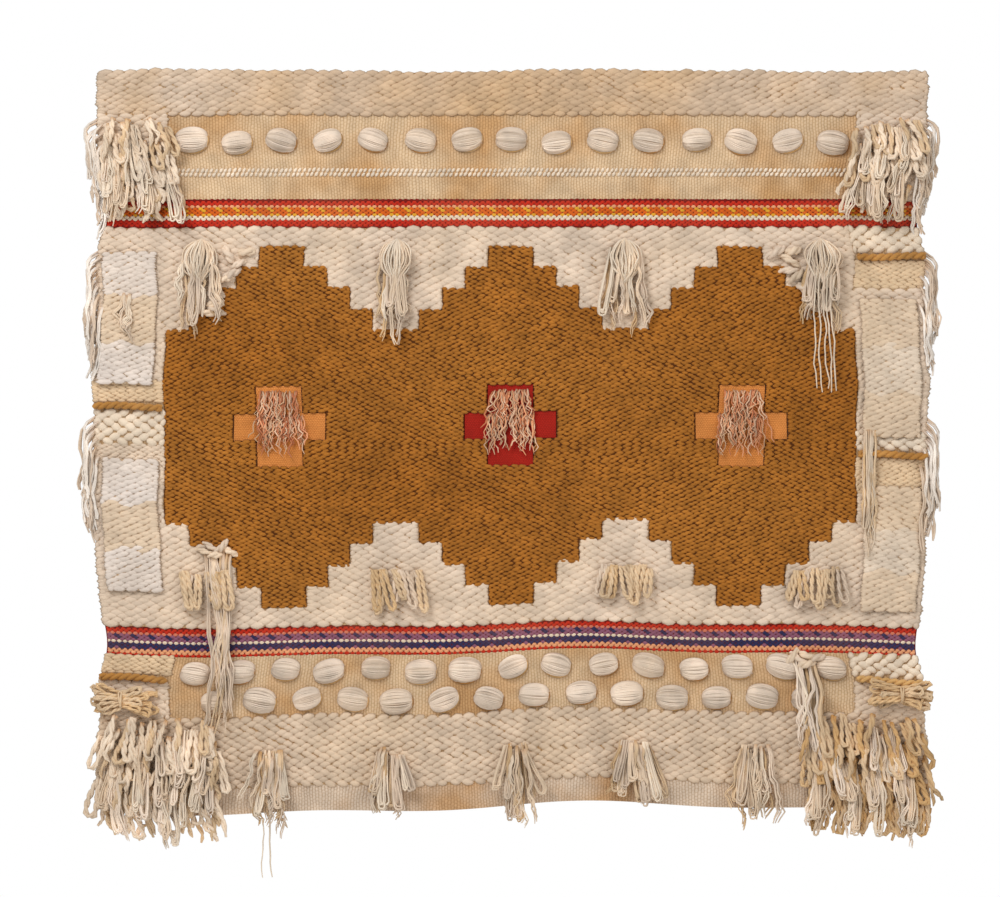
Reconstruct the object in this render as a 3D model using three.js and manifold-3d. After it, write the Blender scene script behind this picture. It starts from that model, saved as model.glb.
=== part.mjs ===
// A large woven wall tapestry, in millimetres, with +Z up and the front towards -Y.
// The origin is the middle of the top edge, on the back plane. Every piece is first laid out
// flat, as on the loom (x across, z down from the heading, depth towards the front), and
// the function hang() then gives it the uneven outline and the gentle waves of the hung cloth.
import * as THREE from 'three';
import { mergeVertices } from 'three/addons/utils/BufferGeometryUtils.js';
import Module from 'manifold-3d';

const wasm = await Module();
wasm.setup();

// Driving dimensions of the cloth
const HALF_WIDTH = 598;
const DROP = 1067;
const SEAT_GAP = 0.35;
const STEP_WIDTH = 33.2;
const STEP_HEIGHT = 30;
const STEPS_PER_SIDE = 5;
const LOZENGES = 3;
const LOZENGE_REACH = 260;
const LOZENGE_WIDTH = 2 * STEPS_PER_SIDE * STEP_WIDTH;
const FIELD_HALF = (LOZENGES * LOZENGE_WIDTH) / 2;
const FIELD_MIDDLE = -513.5;
const BORDER_COLUMNS = 2;

// Depth of each weave's front face from the back plane
const CHUNKY = 9;
const FINE = 4.5;
const TWINED = 6.5;
const HEM = 5.5;
const POCKET = 3;
const BAND_POCKET = 2;
const BAND_FRONT = 5;
const WINDOW_FRONT = 5.4;
const SWELL = 0.4;
const FACE_SEAT = CHUNKY + SWELL + SEAT_GAP;
const ROOT_CELL = 50;

// Sections of the cloth from heading to hem
const SECTIONS = [
  { name: 'heading', top: 0, bottom: -62, centre: CHUNKY, border: CHUNKY, rows: 2 },
  { name: 'upper_plain', top: -62, bottom: -140, centre: FINE, border: CHUNKY, rows: 2 },
  { name: 'twined_line', top: -140, bottom: -152, centre: TWINED, border: CHUNKY, rows: 1 },
  { name: 'inner_plain', top: -152, bottom: -185, centre: FINE, border: CHUNKY, rows: 1 },
  { name: 'upper_band', top: -185, bottom: -227, centre: BAND_POCKET, border: BAND_POCKET, rows: 1 },
  { name: 'field', top: -227, bottom: -800, centre: CHUNKY, border: CHUNKY, rows: 1 },
  { name: 'lower_band', top: -800, bottom: -842, centre: BAND_POCKET, border: BAND_POCKET, rows: 1 },
  { name: 'lower_plain', top: -842, bottom: -930, centre: FINE, border: CHUNKY, rows: 2 },
  { name: 'skirt', top: -930, bottom: -1030, centre: CHUNKY, border: CHUNKY, rows: 2 },
  { name: 'hem', top: -1030, bottom: -DROP, centre: HEM, border: HEM, rows: 1 },
];

// Heights in the field, from its middle, where the lozenges and their windows step
const FIELD_STEPS = [20, 60, 100, 140, 170, 200, 230, 260];

// Half-widths of a window, from its widest row outwards
const WINDOW_HALF_WIDTH = 2 * STEP_WIDTH;
const WINDOW_REACH = 60;
const WINDOW_ROWS = [
  { reach: 20, halfWidth: WINDOW_HALF_WIDTH },
  { reach: WINDOW_REACH, halfWidth: STEP_WIDTH },
];

// Waves of the hung cloth: rise is half of the crest's height
const WAVES = [
  { rise: 2.8, length: 430, slant: 0.0041, start: 0.4 },
  { rise: 1.9, length: 705, slant: -0.0058, start: 2.2 },
];
const WAVES_START = -62;
const WAVES_FULL = -400;

// Small waves of the top edge and the hem, and the lean of the whole outline
const TOP_WAVE = { rise: 1.6, length: 95, fade: 12 };
const HEM_WAVES = [
  { rise: 8, length: 168, start: 0.7 },
  { rise: 3.5, length: 61, start: 0 },
];
const LEAN = { reach: 3, length: 310 };

// Places where the tighter weave draws the side edges in
const DRAWN_IN = [
  { middle: -206, amount: 12, spread: 48 },
  { middle: -513, amount: -5, spread: 120 },
  { middle: -821, amount: 14, spread: 52 },
  { middle: -1067, amount: -5, spread: 70 },
];

// Unevenness of the handwork along the side edges
const HANDWORK = [
  { reach: 1.8, length: 31 },
  { reach: 1.2, length: 13.7 },
];

const COLOURS = {
  cream: 0xd9c7b3,
  brown: 0x97611f,
  red: 0xb8321f,
  violet: 0x7b4a6b,
  orange: 0xcf8a50,
  crimson: 0x9c1d12,
  peach: 0xd9a27c,
  ivory: 0xe3d8ca,
  ochre: 0xd2b084,
};

// Uneven pull of the side edges at a height
function edgePull(z) {
  const bands = DRAWN_IN.map((row) => row.amount * Math.exp(-(((z - row.middle) / row.spread) ** 2)));
  const handwork = HANDWORK.map((row) => row.reach * Math.sin(z / row.length));
  return [...bands, ...handwork].reduce((sum, pull) => sum + pull, 0);
}

// Forward offset of the waves, nought along the flat heading
function forwardWave(x, z) {
  const t = THREE.MathUtils.clamp((WAVES_START - z) / (WAVES_START - WAVES_FULL), 0, 1);
  const fall = t * t * (3 - 2 * t);
  const crests = WAVES.map((wave) => {
    const phase = (2 * Math.PI * x) / wave.length + wave.slant * z + wave.start;
    return wave.rise * (1 + Math.sin(phase));
  });
  return fall * crests.reduce((sum, crest) => sum + crest, 0);
}

// A point of the flat layout, moved to where it hangs
function hang(x, y, z) {
  const down = -z / DROP;
  const topWave = TOP_WAVE.rise * Math.sin(x / TOP_WAVE.length) * Math.max(0, 1 - down * TOP_WAVE.fade);
  const hemWaves = HEM_WAVES.map((wave) => (
    wave.rise * Math.sin(x / wave.length + wave.start) * down * down
  ));
  return new THREE.Vector3(
    x * (1 - edgePull(z) / HALF_WIDTH) + LEAN.reach * Math.sin(z / LEAN.length),
    y - forwardWave(x, z),
    hemWaves.reduce((sum, wave) => sum + wave, z + topWave),
  );
}

// Slight hills and hollows of a chunky weave's front face
function swell(x, z) {
  return SWELL * Math.sin(x / 41 + z / 87) * Math.sin(z / 33 - x / 140);
}

// Evenly spaced values from start to end, both included
function spread(start, end, count) {
  return Array.from({ length: count }, (_, k) => start + ((end - start) * k) / Math.max(1, count - 1));
}

// Repeatable scatter between -1 and 1
function scatter(seed) {
  const s = Math.sin(seed * 12.9898 + 4.1414) * 43758.5453;
  return 2 * (s - Math.floor(s)) - 1;
}

// The loom's lines across: border columns, then the steps of the field
function columnLines() {
  const left = spread(-HALF_WIDTH, -FIELD_HALF, BORDER_COLUMNS + 1);
  const field = spread(-FIELD_HALF, FIELD_HALF, 2 * LOZENGES * STEPS_PER_SIDE + 1);
  const right = left.map((x) => -x).reverse();
  return [...left.slice(0, -1), ...field, ...right.slice(1)];
}

// The loom's lines down: each section's rows, with the steps of the field
function rowLines() {
  const lines = new Set();
  for (const section of SECTIONS) {
    spread(section.top, section.bottom, section.rows + 1).forEach((z) => lines.add(z));
  }
  for (const step of FIELD_STEPS) {
    lines.add(FIELD_MIDDLE + step);
    lines.add(FIELD_MIDDLE - step);
  }
  return [...lines].sort((a, b) => b - a);
}

const COLUMN_LINES = columnLines();
const ROW_LINES = rowLines();

// The loom's lines between two ends, with the ends themselves
function linesBetween(lines, low, high) {
  const inside = lines.filter((value) => value > low + 1 && value < high - 1);
  const ends = lines[0] < lines[1] ? [low, high] : [high, low];
  return [ends[0], ...inside, ends[1]];
}

function sectionAt(z) {
  return SECTIONS.find((section) => z <= section.top && z > section.bottom);
}

// Distance across from the middle of the nearest lozenge
function fromLozenge(x) {
  const side = (LOZENGES - 1) / 2;
  const nearest = THREE.MathUtils.clamp(Math.round(x / LOZENGE_WIDTH), -side, side);
  return Math.abs(x - nearest * LOZENGE_WIDTH);
}

function inWindow(x, z) {
  const row = WINDOW_ROWS.find((each) => Math.abs(z - FIELD_MIDDLE) < each.reach);
  return row !== undefined && fromLozenge(x) < row.halfWidth;
}

function inBrown(x, z) {
  if (Math.abs(x) > FIELD_HALF || inWindow(x, z)) {
    return false;
  }
  const step = Math.floor(fromLozenge(x) / STEP_WIDTH);
  return Math.abs(z - FIELD_MIDDLE) < LOZENGE_REACH - step * STEP_HEIGHT;
}

function clothDepth(x, z) {
  if (inBrown(x, z) || inWindow(x, z)) {
    return POCKET;
  }
  const section = sectionAt(z);
  return Math.abs(x) > FIELD_HALF ? section.border : section.centre;
}

// A closed sheet over a grid of cells. frontAt gives each cell's front depth, or null for
// no cell. inset draws the outline in, bulge moves points forward, and coarse joins cells of
// a whole sheet's back into larger faces.
function reliefSheet({ xs, zs, frontAt, back = 0, inset = 0, bulge = () => 0, coarse = 1 }) {
  const positions = [];
  const triangles = [];
  const known = new Map();
  const columns = xs.length - 1;
  const rows = zs.length - 1;

  const levels = Array.from({ length: columns }, (_, i) => (
    Array.from({ length: rows }, (__, j) => frontAt((xs[i] + xs[i + 1]) / 2, (zs[j] + zs[j + 1]) / 2))
  ));
  const levelOf = (i, j) => levels[i]?.[j] ?? null;

  const around = (i, j) => [
    { side: -1, up: 1, depth: levelOf(i - 1, j - 1) },
    { side: 1, up: 1, depth: levelOf(i, j - 1) },
    { side: -1, up: -1, depth: levelOf(i - 1, j) },
    { side: 1, up: -1, depth: levelOf(i, j) },
  ];

  const corner = (i, j, depth) => {
    const key = `${i},${j},${depth}`;
    if (!known.has(key)) {
      const present = around(i, j).filter((cell) => cell.depth !== null);
      const moveX = Math.sign(present.reduce((sum, cell) => sum + cell.side, 0));
      const moveZ = Math.sign(present.reduce((sum, cell) => sum + cell.up, 0));
      const x = xs[i] + inset * moveX;
      const z = zs[j] + inset * moveZ;
      const hill = depth >= CHUNKY ? swell(x, z) : 0;
      const point = hang(x, -depth - hill - bulge(x, z), z);
      known.set(key, positions.length / 3);
      positions.push(point.x, point.y, point.z);
    }
    return known.get(key);
  };

  const face = (a, b, c, flip) => triangles.push(a, flip ? c : b, flip ? b : c);

  // Heights at which a wall's upright edge meets other faces
  const chain = (i, j, low, high) => {
    const between = around(i, j).map((cell) => cell.depth).filter((d) => d !== null && d > low && d < high);
    const heights = [low, ...new Set(between.sort((a, b) => a - b)), high];
    return heights.map((depth) => corner(i, j, depth));
  };

  const wall = (first, second, low, high, flip) => {
    const left = chain(...first, low, high);
    const right = chain(...second, low, high);
    let a = 0;
    let b = 0;
    while (a < left.length - 1 || b < right.length - 1) {
      if (b <= a && b < right.length - 1) {
        face(left[a], right[b], right[b + 1], flip);
        b += 1;
      } else if (a < left.length - 1) {
        face(left[a], right[b], left[a + 1], flip);
        a += 1;
      } else {
        face(left[a], right[b], right[b + 1], flip);
        b += 1;
      }
    }
  };

  for (let i = 0; i < columns; i += 1) {
    for (let j = 0; j < rows; j += 1) {
      const depth = levels[i][j];
      if (depth !== null) {
        const topLeft = corner(i, j, depth);
        const lowRight = corner(i + 1, j + 1, depth);
        face(topLeft, corner(i, j + 1, depth), lowRight, false);
        face(topLeft, lowRight, corner(i + 1, j, depth), false);
      }
    }
  }

  for (let i = 0; i <= columns; i += 1) {
    for (let j = 0; j < rows; j += 1) {
      const left = levelOf(i - 1, j) ?? back;
      const right = levelOf(i, j) ?? back;
      if (left !== right) {
        wall([i, j], [i, j + 1], Math.min(left, right), Math.max(left, right), left > right);
      }
    }
  }
  for (let j = 0; j <= rows; j += 1) {
    for (let i = 0; i < columns; i += 1) {
      const above = levelOf(i, j - 1) ?? back;
      const below = levelOf(i, j) ?? back;
      if (above !== below) {
        wall([i, j], [i + 1, j], Math.min(above, below), Math.max(above, below), above < below);
      }
    }
  }

  // The back, in blocks of cells whose outer edges keep every corner
  for (let i0 = 0; i0 < columns; i0 += coarse) {
    for (let j0 = 0; j0 < rows; j0 += coarse) {
      const i1 = Math.min(i0 + coarse, columns);
      const j1 = Math.min(j0 + coarse, rows);
      if (levels[i0][j0] === null) {
        continue;
      }
      const ring = [];
      const along = (fromI, fromJ, toI, toJ, outer) => {
        const steps = outer ? Math.abs(toI - fromI) + Math.abs(toJ - fromJ) : 1;
        for (let k = 0; k < steps; k += 1) {
          ring.push([fromI + ((toI - fromI) * k) / steps, fromJ + ((toJ - fromJ) * k) / steps]);
        }
      };
      along(i0, j0, i1, j0, j0 === 0);
      along(i1, j0, i1, j1, i1 === columns);
      along(i1, j1, i0, j1, j1 === rows);
      along(i0, j1, i0, j0, i0 === 0);
      const innerI = i0 === 0 ? i1 : i0;
      const innerJ = j0 === 0 ? j1 : j0;
      const start = ring.findIndex(([i, j]) => i === innerI && j === innerJ);
      const ordered = [...ring.slice(start), ...ring.slice(0, start)];
      for (let k = 1; k < ordered.length - 1; k += 1) {
        const ends = [corner(...ordered[k], back), corner(...ordered[k + 1], back)];
        face(corner(...ordered[0], back), ...ends, false);
      }
    }
  }
  return closedGeometry(positions, triangles);
}

function closedGeometry(positions, triangles) {
  const geometry = new THREE.BufferGeometry();
  geometry.setAttribute('position', new THREE.Float32BufferAttribute(positions, 3));
  geometry.setIndex(triangles);
  return geometry;
}

// A closed yarn or rope of flat sides through points of the flat layout
function yarn(points, radii, sides, turn = 0) {
  const positions = [];
  const triangles = [];
  points.forEach((point, k) => {
    const before = points[Math.max(0, k - 1)];
    const after = points[Math.min(points.length - 1, k + 1)];
    const run = new THREE.Vector3().subVectors(after, before).normalize();
    const across = new THREE.Vector3().crossVectors(run, new THREE.Vector3(0, 1, 0)).normalize();
    const out = new THREE.Vector3().crossVectors(across, run);
    for (let side = 0; side < sides; side += 1) {
      const angle = turn + (2 * Math.PI * side) / sides;
      const place = point.clone();
      place.addScaledVector(across, radii[k] * Math.cos(angle));
      place.addScaledVector(out, radii[k] * Math.sin(angle));
      positions.push(...hang(place.x, place.y, place.z).toArray());
    }
  });
  for (let k = 0; k < points.length - 1; k += 1) {
    for (let side = 0; side < sides; side += 1) {
      const a = k * sides + side;
      const b = k * sides + ((side + 1) % sides);
      triangles.push(a, a + sides, b, b, a + sides, b + sides);
    }
  }
  closeEnds(triangles, sides, (points.length - 1) * sides);
  return closedGeometry(positions, triangles);
}

// Flat ends on a run of rings that starts at corner 0 and ends at corner last
function closeEnds(triangles, sides, last) {
  for (let side = 1; side < sides - 1; side += 1) {
    triangles.push(0, side, side + 1);
    triangles.push(last, last + side + 1, last + side);
  }
}

// An oval lump with a flat back, such as a tassel's wound head
function lump({ x, z, seat, halfWidth, halfHeight, rise, sides = 6 }) {
  const rings = [
    { size: 0.9, lift: 0 },
    { size: 0.72, lift: 0.72 },
  ];
  const positions = [];
  const triangles = [];
  for (const ring of rings) {
    for (let side = 0; side < sides; side += 1) {
      const angle = (2 * Math.PI * (side + 0.5)) / sides;
      const px = x + ring.size * halfWidth * Math.cos(angle);
      const pz = z + ring.size * halfHeight * Math.sin(angle);
      positions.push(...hang(px, -seat - ring.lift * rise, pz).toArray());
    }
  }
  positions.push(...hang(x, -seat - rise, z).toArray());
  const peak = rings.length * sides;
  for (let side = 0; side < sides; side += 1) {
    const next = (side + 1) % sides;
    triangles.push(side, side + sides, next, next, side + sides, next + sides);
    triangles.push(side + sides, peak, next + sides);
  }
  for (let side = 1; side < sides - 1; side += 1) {
    triangles.push(0, side, side + 1);
  }
  return closedGeometry(positions, triangles);
}

// The same closed mesh with its faces pointing out
function turnedOut(geometry) {
  const index = geometry.getIndex().array;
  const place = geometry.getAttribute('position');
  const corners = [new THREE.Vector3(), new THREE.Vector3(), new THREE.Vector3()];
  let volume = 0;
  for (let k = 0; k < index.length; k += 3) {
    corners.forEach((each, n) => each.fromBufferAttribute(place, index[k + n]));
    volume += corners[0].dot(corners[1].clone().cross(corners[2]));
  }
  if (volume < 0) {
    const flipped = Array.from(index);
    for (let k = 0; k < flipped.length; k += 3) {
      [flipped[k + 1], flipped[k + 2]] = [flipped[k + 2], flipped[k + 1]];
    }
    geometry.setIndex(flipped);
  }
  return geometry;
}

function toSolid(geometry) {
  const merged = mergeVertices(turnedOut(geometry));
  return new wasm.Manifold(new wasm.Mesh({
    numProp: 3,
    vertProperties: new Float32Array(merged.getAttribute('position').array),
    triVerts: new Uint32Array(merged.getIndex().array),
  }));
}

// One body from pieces whose roots run into each other
function fuse(geometries) {
  let whole = toSolid(geometries[0]);
  for (const geometry of geometries.slice(1)) {
    whole = whole.add(toSolid(geometry));
  }
  const mesh = whole.getMesh();
  return closedGeometry(Array.from(mesh.vertProperties), Array.from(mesh.triVerts));
}

// A narrow bar sewn to the cloth, which holds the roots of strands
function rootBar({ left, right, top, bottom, seat, thickness }) {
  return reliefSheet({
    xs: spread(left, right, 1 + Math.ceil((right - left) / ROOT_CELL)),
    zs: [top, bottom],
    frontAt: () => seat + thickness,
    back: seat,
  });
}

// A strip along which flat-backed beads sit at the given middles
function beadedStrip({ middles, z, seat, bead, stripSize, overhang }) {
  const first = middles[0] - bead.halfWidth - overhang;
  const last = middles[middles.length - 1] + bead.halfWidth + overhang;
  const thin = { halfHeight: stripSize.halfHeight, rise: stripSize.rise };
  const sections = [{ x: first, ...thin }];
  middles.forEach((middle, k) => {
    const size = 1 + bead.uneven * scatter(k + z);
    const full = { halfHeight: bead.halfHeight * size, rise: bead.rise };
    sections.push({ x: middle - bead.halfWidth * size, ...thin });
    sections.push({ x: middle - bead.halfWidth * bead.shoulder, ...full });
    sections.push({ x: middle + bead.halfWidth * bead.shoulder, ...full });
    sections.push({ x: middle + bead.halfWidth * size, ...thin });
  });
  sections.push({ x: last, ...thin });

  const outline = [[-1, 0], [-0.8, 0.72], [0, 1], [0.8, 0.72], [1, 0]];
  const positions = [];
  const triangles = [];
  for (const section of sections) {
    for (const [up, out] of outline) {
      positions.push(...hang(section.x, -seat - out * section.rise, z + up * section.halfHeight).toArray());
    }
  }
  const sides = outline.length;
  for (let k = 0; k < sections.length - 1; k += 1) {
    for (let side = 0; side < sides; side += 1) {
      const a = k * sides + side;
      const b = k * sides + ((side + 1) % sides);
      triangles.push(a, a + sides, b, b, a + sides, b + sides);
    }
  }
  closeEnds(triangles, sides, (sections.length - 1) * sides);
  return closedGeometry(positions, triangles);
}

// How strands bend, and how the layers below a bar follow each other
const STRAND = { sway: 0.35, bow: 0.8, taper: 0.25, turn: 0.5 };
const LAYER = { clear: 0.5, shorter: 0.07, forward: 1.2 };

// A strand that hangs from its root, leaning out and standing forward a little
function strand({ x, depth, z, length, lean, forward, radius, seed, segments = 3, sides = 3 }) {
  const points = [];
  const radii = [];
  for (let k = 0; k <= segments; k += 1) {
    const t = k / segments;
    const sway = k === 0 ? 0 : STRAND.sway * radius * scatter(seed + k * 7.3);
    const px = x + lean * Math.sqrt(t) + sway;
    const py = -depth - forward * Math.sin(Math.PI * t * STRAND.bow);
    points.push(new THREE.Vector3(px, py, z - length * t));
    radii.push(radius * (1 - STRAND.taper * t));
  }
  return yarn(points, radii, sides, scatter(seed) * STRAND.turn);
}

// Layers of strands below a root bar. lanes is the number of strands in each layer.
function strandLayers({ x, z, seat, width, lanes, radius, length, ragged, fan, layers, pitch, seed }) {
  const strands = [];
  for (let layer = 0; layer < layers; layer += 1) {
    const count = lanes - (layer % 2);
    const half = (width / 2) * ((count - 1) / (lanes - 1));
    spread(-half, half, count).forEach((offset, k) => {
      const key = seed + layer * 31.7 + k * 3.1;
      strands.push(strand({
        x: x + offset,
        depth: seat + radius + LAYER.clear + layer * pitch,
        z,
        length: length * (1 - layer * LAYER.shorter) + ragged * scatter(key),
        lean: (fan * offset) / half,
        forward: LAYER.forward + layer,
        radius,
        seed: key,
      }));
    });
  }
  return strands;
}

// Tassels and lock clusters on the face of the cloth
const SHOULDER = { z: -84, width: 78, lanes: 7, layers: 2, radius: 4, ragged: 12, fan: 7 };
const CORNER = { z: -944, width: 150, lanes: 11, layers: 3, radius: 4.2, ragged: 12, fan: 12 };
const WAIST = { z: -258, width: 42, lanes: 4, layers: 2, radius: 3.6, ragged: 9, fan: 6 };
const SKIRT = { z: -985, width: 36, lanes: 4, layers: 2, radius: 2.6, ragged: 9, fan: 5 };
const TASSELS = [
  { ...SHOULDER, name: 'cluster_left', x: -542, length: 138 },
  { ...SHOULDER, name: 'cluster_right', x: 542, length: 132 },
  { ...WAIST, name: 'tassel_waist_1', x: -452, length: 122 },
  { ...WAIST, name: 'tassel_waist_2', x: -166, length: 128 },
  { ...WAIST, name: 'tassel_waist_3', x: 166, length: 120 },
  { ...WAIST, name: 'tassel_waist_4', x: 452, length: 126 },
  { ...CORNER, name: 'tassel_bottom_1', x: -506, length: 166 },
  { ...SKIRT, name: 'tassel_bottom_2', x: -350, length: 108, lanes: 5 },
  { ...SKIRT, name: 'tassel_bottom_3', x: -176, length: 92 },
  { ...SKIRT, name: 'tassel_bottom_4', x: 0, length: 112, width: 40, lanes: 5 },
  { ...SKIRT, name: 'tassel_bottom_5', x: 176, length: 96 },
  { ...SKIRT, name: 'tassel_bottom_6', x: 350, length: 104 },
  { ...CORNER, name: 'tassel_bottom_7', x: 506, length: 172 },
];
const CLUSTER_WIDTH = 60;
const LONG_THREADS = {
  tassel: 'tassel_bottom_2',
  offsets: [-8.6, 0.4],
  length: 178,
  lean: 0.5,
  forward: 1,
  radius: 1.2,
  layer: 2.12,
  segments: 5,
};
const BAR = { top: 4, bottom: 5, margin: 1, between: 1.4, front: 1.5 };
const HEAD = { lift: 6, inset: 0.2, share: 0.45, halfHeight: 11 };

// Bobbles: their rows, and whether a row starts on an even or an odd step
const BOBBLE = { halfWidth: 22, halfHeight: 17, rise: 12.5, shoulder: 0.45, uneven: 0.06, shift: 1.5 };
const BOBBLE_STRIP = { halfHeight: 3, rise: 2 };
const BOBBLE_OVERHANG = 5;
const BOBBLE_ROWS = [
  { name: 'bobble_row_top', z: -101, first: -14 },
  { name: 'bobble_row_middle', z: -864, first: -14 },
  { name: 'bobble_row_bottom', z: -907, first: -13 },
];

// Woven tabs sewn to the side borders by their top edge
const TABS = [
  { name: 'tab_left_upper', left: -590, right: -514, top: -262, bottom: -452 },
  { name: 'tab_left_lower', left: -586, right: -508, top: -560, bottom: -748 },
  { name: 'tab_right_upper', left: 508, right: 588, top: -330, bottom: -528 },
  { name: 'tab_right_lower', left: 512, right: 590, top: -602, bottom: -778 },
];
const TAB = { thickness: 4.5, columns: 3, rows: 5 };
const TAB_RIPPLE = { lift: 3.2, middle: 0.55, swing: 0.45, length: 26 };

// Tiers of side fringe, from the top down
const FRINGE_STRIP = { width: 3.5, near: 2, thickness: 5.4 };
const FRINGE_TIERS = [
  { name: 'upper', top: -62, bottom: -152, strands: 10, length: 92 },
  { name: 'middle', top: -253.5, bottom: -343.5, strands: 10, length: 100 },
  { name: 'lower', top: -493.5, bottom: -573.5, strands: 10, length: 114 },
];
const FRINGE_LANES = { across: 4, deep: 3, pitch: 4.3, clear: 1, ragged: 12 };
const FRINGE_YARN = {
  radius: 1.5,
  tipRadius: 1.2,
  rootRadius: 1.1,
  rootPitch: 1.2,
  margin: 4,
  bend: 9,
  bendStep: 2,
  waist: 0.55,
  sway: 0.8,
};

// Thick rya loops at the foot of the field
const LOOPS = [
  { name: 'loops_1', x: -446, z: -722 },
  { name: 'loops_2', x: -166, z: -722 },
  { name: 'loops_3', x: 166, z: -722 },
  { name: 'loops_4', x: 446, z: -722 },
];
const LOOP = {
  count: 4,
  pitch: 21,
  reach: 58,
  ragged: 6,
  halfSpan: 5.6,
  stretch: 1.6,
  radius: 3.6,
  bends: 4,
  clear: 0.5,
  forward: 1.5,
};

// Frayed tufts in the windows
const TUFT = {
  width: 52,
  margin: 4,
  strands: 7,
  radius: 1.7,
  length: 78,
  ragged: 10,
  above: 48,
  height: 5,
  drop: 3,
  thickness: 4.2,
  lean: 0.14,
  forward: 5,
};

// Windows from left to right
const WINDOWS = [
  { name: 'left', colour: 'orange' },
  { name: 'middle', colour: 'crimson' },
  { name: 'right', colour: 'orange' },
];

const tapestry = new THREE.Group();

function addPiece(name, geometry, colour, roughness = 0.95) {
  const plain = mergeVertices(turnedOut(geometry));
  plain.computeVertexNormals();
  const material = new THREE.MeshStandardMaterial({ color: COLOURS[colour], roughness, metalness: 0 });
  const mesh = new THREE.Mesh(plain, material);
  mesh.name = name;
  tapestry.add(mesh);
}

// The ground cloth, in one piece from heading to hem
function addCloth() {
  const cloth = reliefSheet({ xs: COLUMN_LINES, zs: ROW_LINES, frontAt: clothDepth, coarse: 3 });
  addPiece('woven_cloth', cloth, 'cream');
}

// Panels set in the cloth's pockets
function addPanels() {
  const brown = reliefSheet({
    xs: linesBetween(COLUMN_LINES, -FIELD_HALF, FIELD_HALF),
    zs: linesBetween(ROW_LINES, FIELD_MIDDLE - LOZENGE_REACH, FIELD_MIDDLE + LOZENGE_REACH),
    frontAt: (x, z) => (inBrown(x, z) ? CHUNKY : null),
    back: POCKET + SEAT_GAP,
    inset: SEAT_GAP,
  });
  addPiece('brown_field', brown, 'brown');

  const bands = [
    { name: 'stripe_band_upper', section: 'upper_band', colour: 'red' },
    { name: 'stripe_band_lower', section: 'lower_band', colour: 'violet' },
  ];
  for (const band of bands) {
    const section = SECTIONS.find((each) => each.name === band.section);
    const sheet = reliefSheet({
      xs: COLUMN_LINES,
      zs: [section.top, section.bottom],
      frontAt: () => BAND_FRONT,
      back: BAND_POCKET + SEAT_GAP,
      inset: SEAT_GAP,
    });
    addPiece(band.name, sheet, band.colour);
  }

  WINDOWS.forEach((window, k) => {
    const middle = (k - (LOZENGES - 1) / 2) * LOZENGE_WIDTH;
    const panel = reliefSheet({
      xs: linesBetween(COLUMN_LINES, middle - WINDOW_HALF_WIDTH, middle + WINDOW_HALF_WIDTH),
      zs: linesBetween(ROW_LINES, FIELD_MIDDLE - WINDOW_REACH, FIELD_MIDDLE + WINDOW_REACH),
      frontAt: (x, z) => (inWindow(x, z) ? WINDOW_FRONT : null),
      back: POCKET + SEAT_GAP,
      inset: 2 * SEAT_GAP,
    });
    addPiece(`window_${window.name}`, panel, window.colour);

    const seat = WINDOW_FRONT + SEAT_GAP;
    const rootZ = FIELD_MIDDLE + TUFT.above;
    const bar = rootBar({
      left: middle - TUFT.width / 2,
      right: middle + TUFT.width / 2,
      top: rootZ + TUFT.height,
      bottom: rootZ,
      seat,
      thickness: TUFT.thickness,
    });
    const halfRoots = TUFT.width / 2 - TUFT.margin;
    const strands = spread(-halfRoots, halfRoots, TUFT.strands).map((offset, n) => strand({
      x: middle + offset,
      depth: seat + TUFT.thickness / 2,
      z: rootZ + TUFT.height - TUFT.drop,
      length: TUFT.length + TUFT.ragged * scatter(k * 17 + n * 2.3),
      lean: offset * TUFT.lean,
      forward: TUFT.forward,
      radius: TUFT.radius,
      seed: k * 17 + n,
    }));
    addPiece(`tuft_${window.name}`, fuse([bar, ...strands]), 'peach');
  });
}

function addBobbles() {
  for (const row of BOBBLE_ROWS) {
    const count = 1 - row.first;
    const middles = spread(row.first, -row.first, count).map((step, k) => (
      step * STEP_WIDTH + BOBBLE.shift * scatter(k * 3.3)
    ));
    addPiece(row.name, beadedStrip({
      middles,
      z: row.z,
      seat: FINE + SEAT_GAP,
      bead: BOBBLE,
      stripSize: BOBBLE_STRIP,
      overhang: BOBBLE_OVERHANG,
    }), 'ivory');
  }
}

function addTabs() {
  for (const tab of TABS) {
    const ripple = (x, z) => {
      const t = (tab.top - z) / (tab.top - tab.bottom);
      const swing = TAB_RIPPLE.swing * Math.cos((x - tab.left) / TAB_RIPPLE.length);
      return TAB_RIPPLE.lift * t * (TAB_RIPPLE.middle + swing);
    };
    const sheet = reliefSheet({
      xs: spread(tab.left, tab.right, TAB.columns + 1),
      zs: spread(tab.top, tab.bottom, TAB.rows + 1),
      frontAt: () => FACE_SEAT + TAB.thickness,
      back: FACE_SEAT,
      bulge: ripple,
    });
    addPiece(tab.name, sheet, 'ivory');
  }
}

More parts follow.
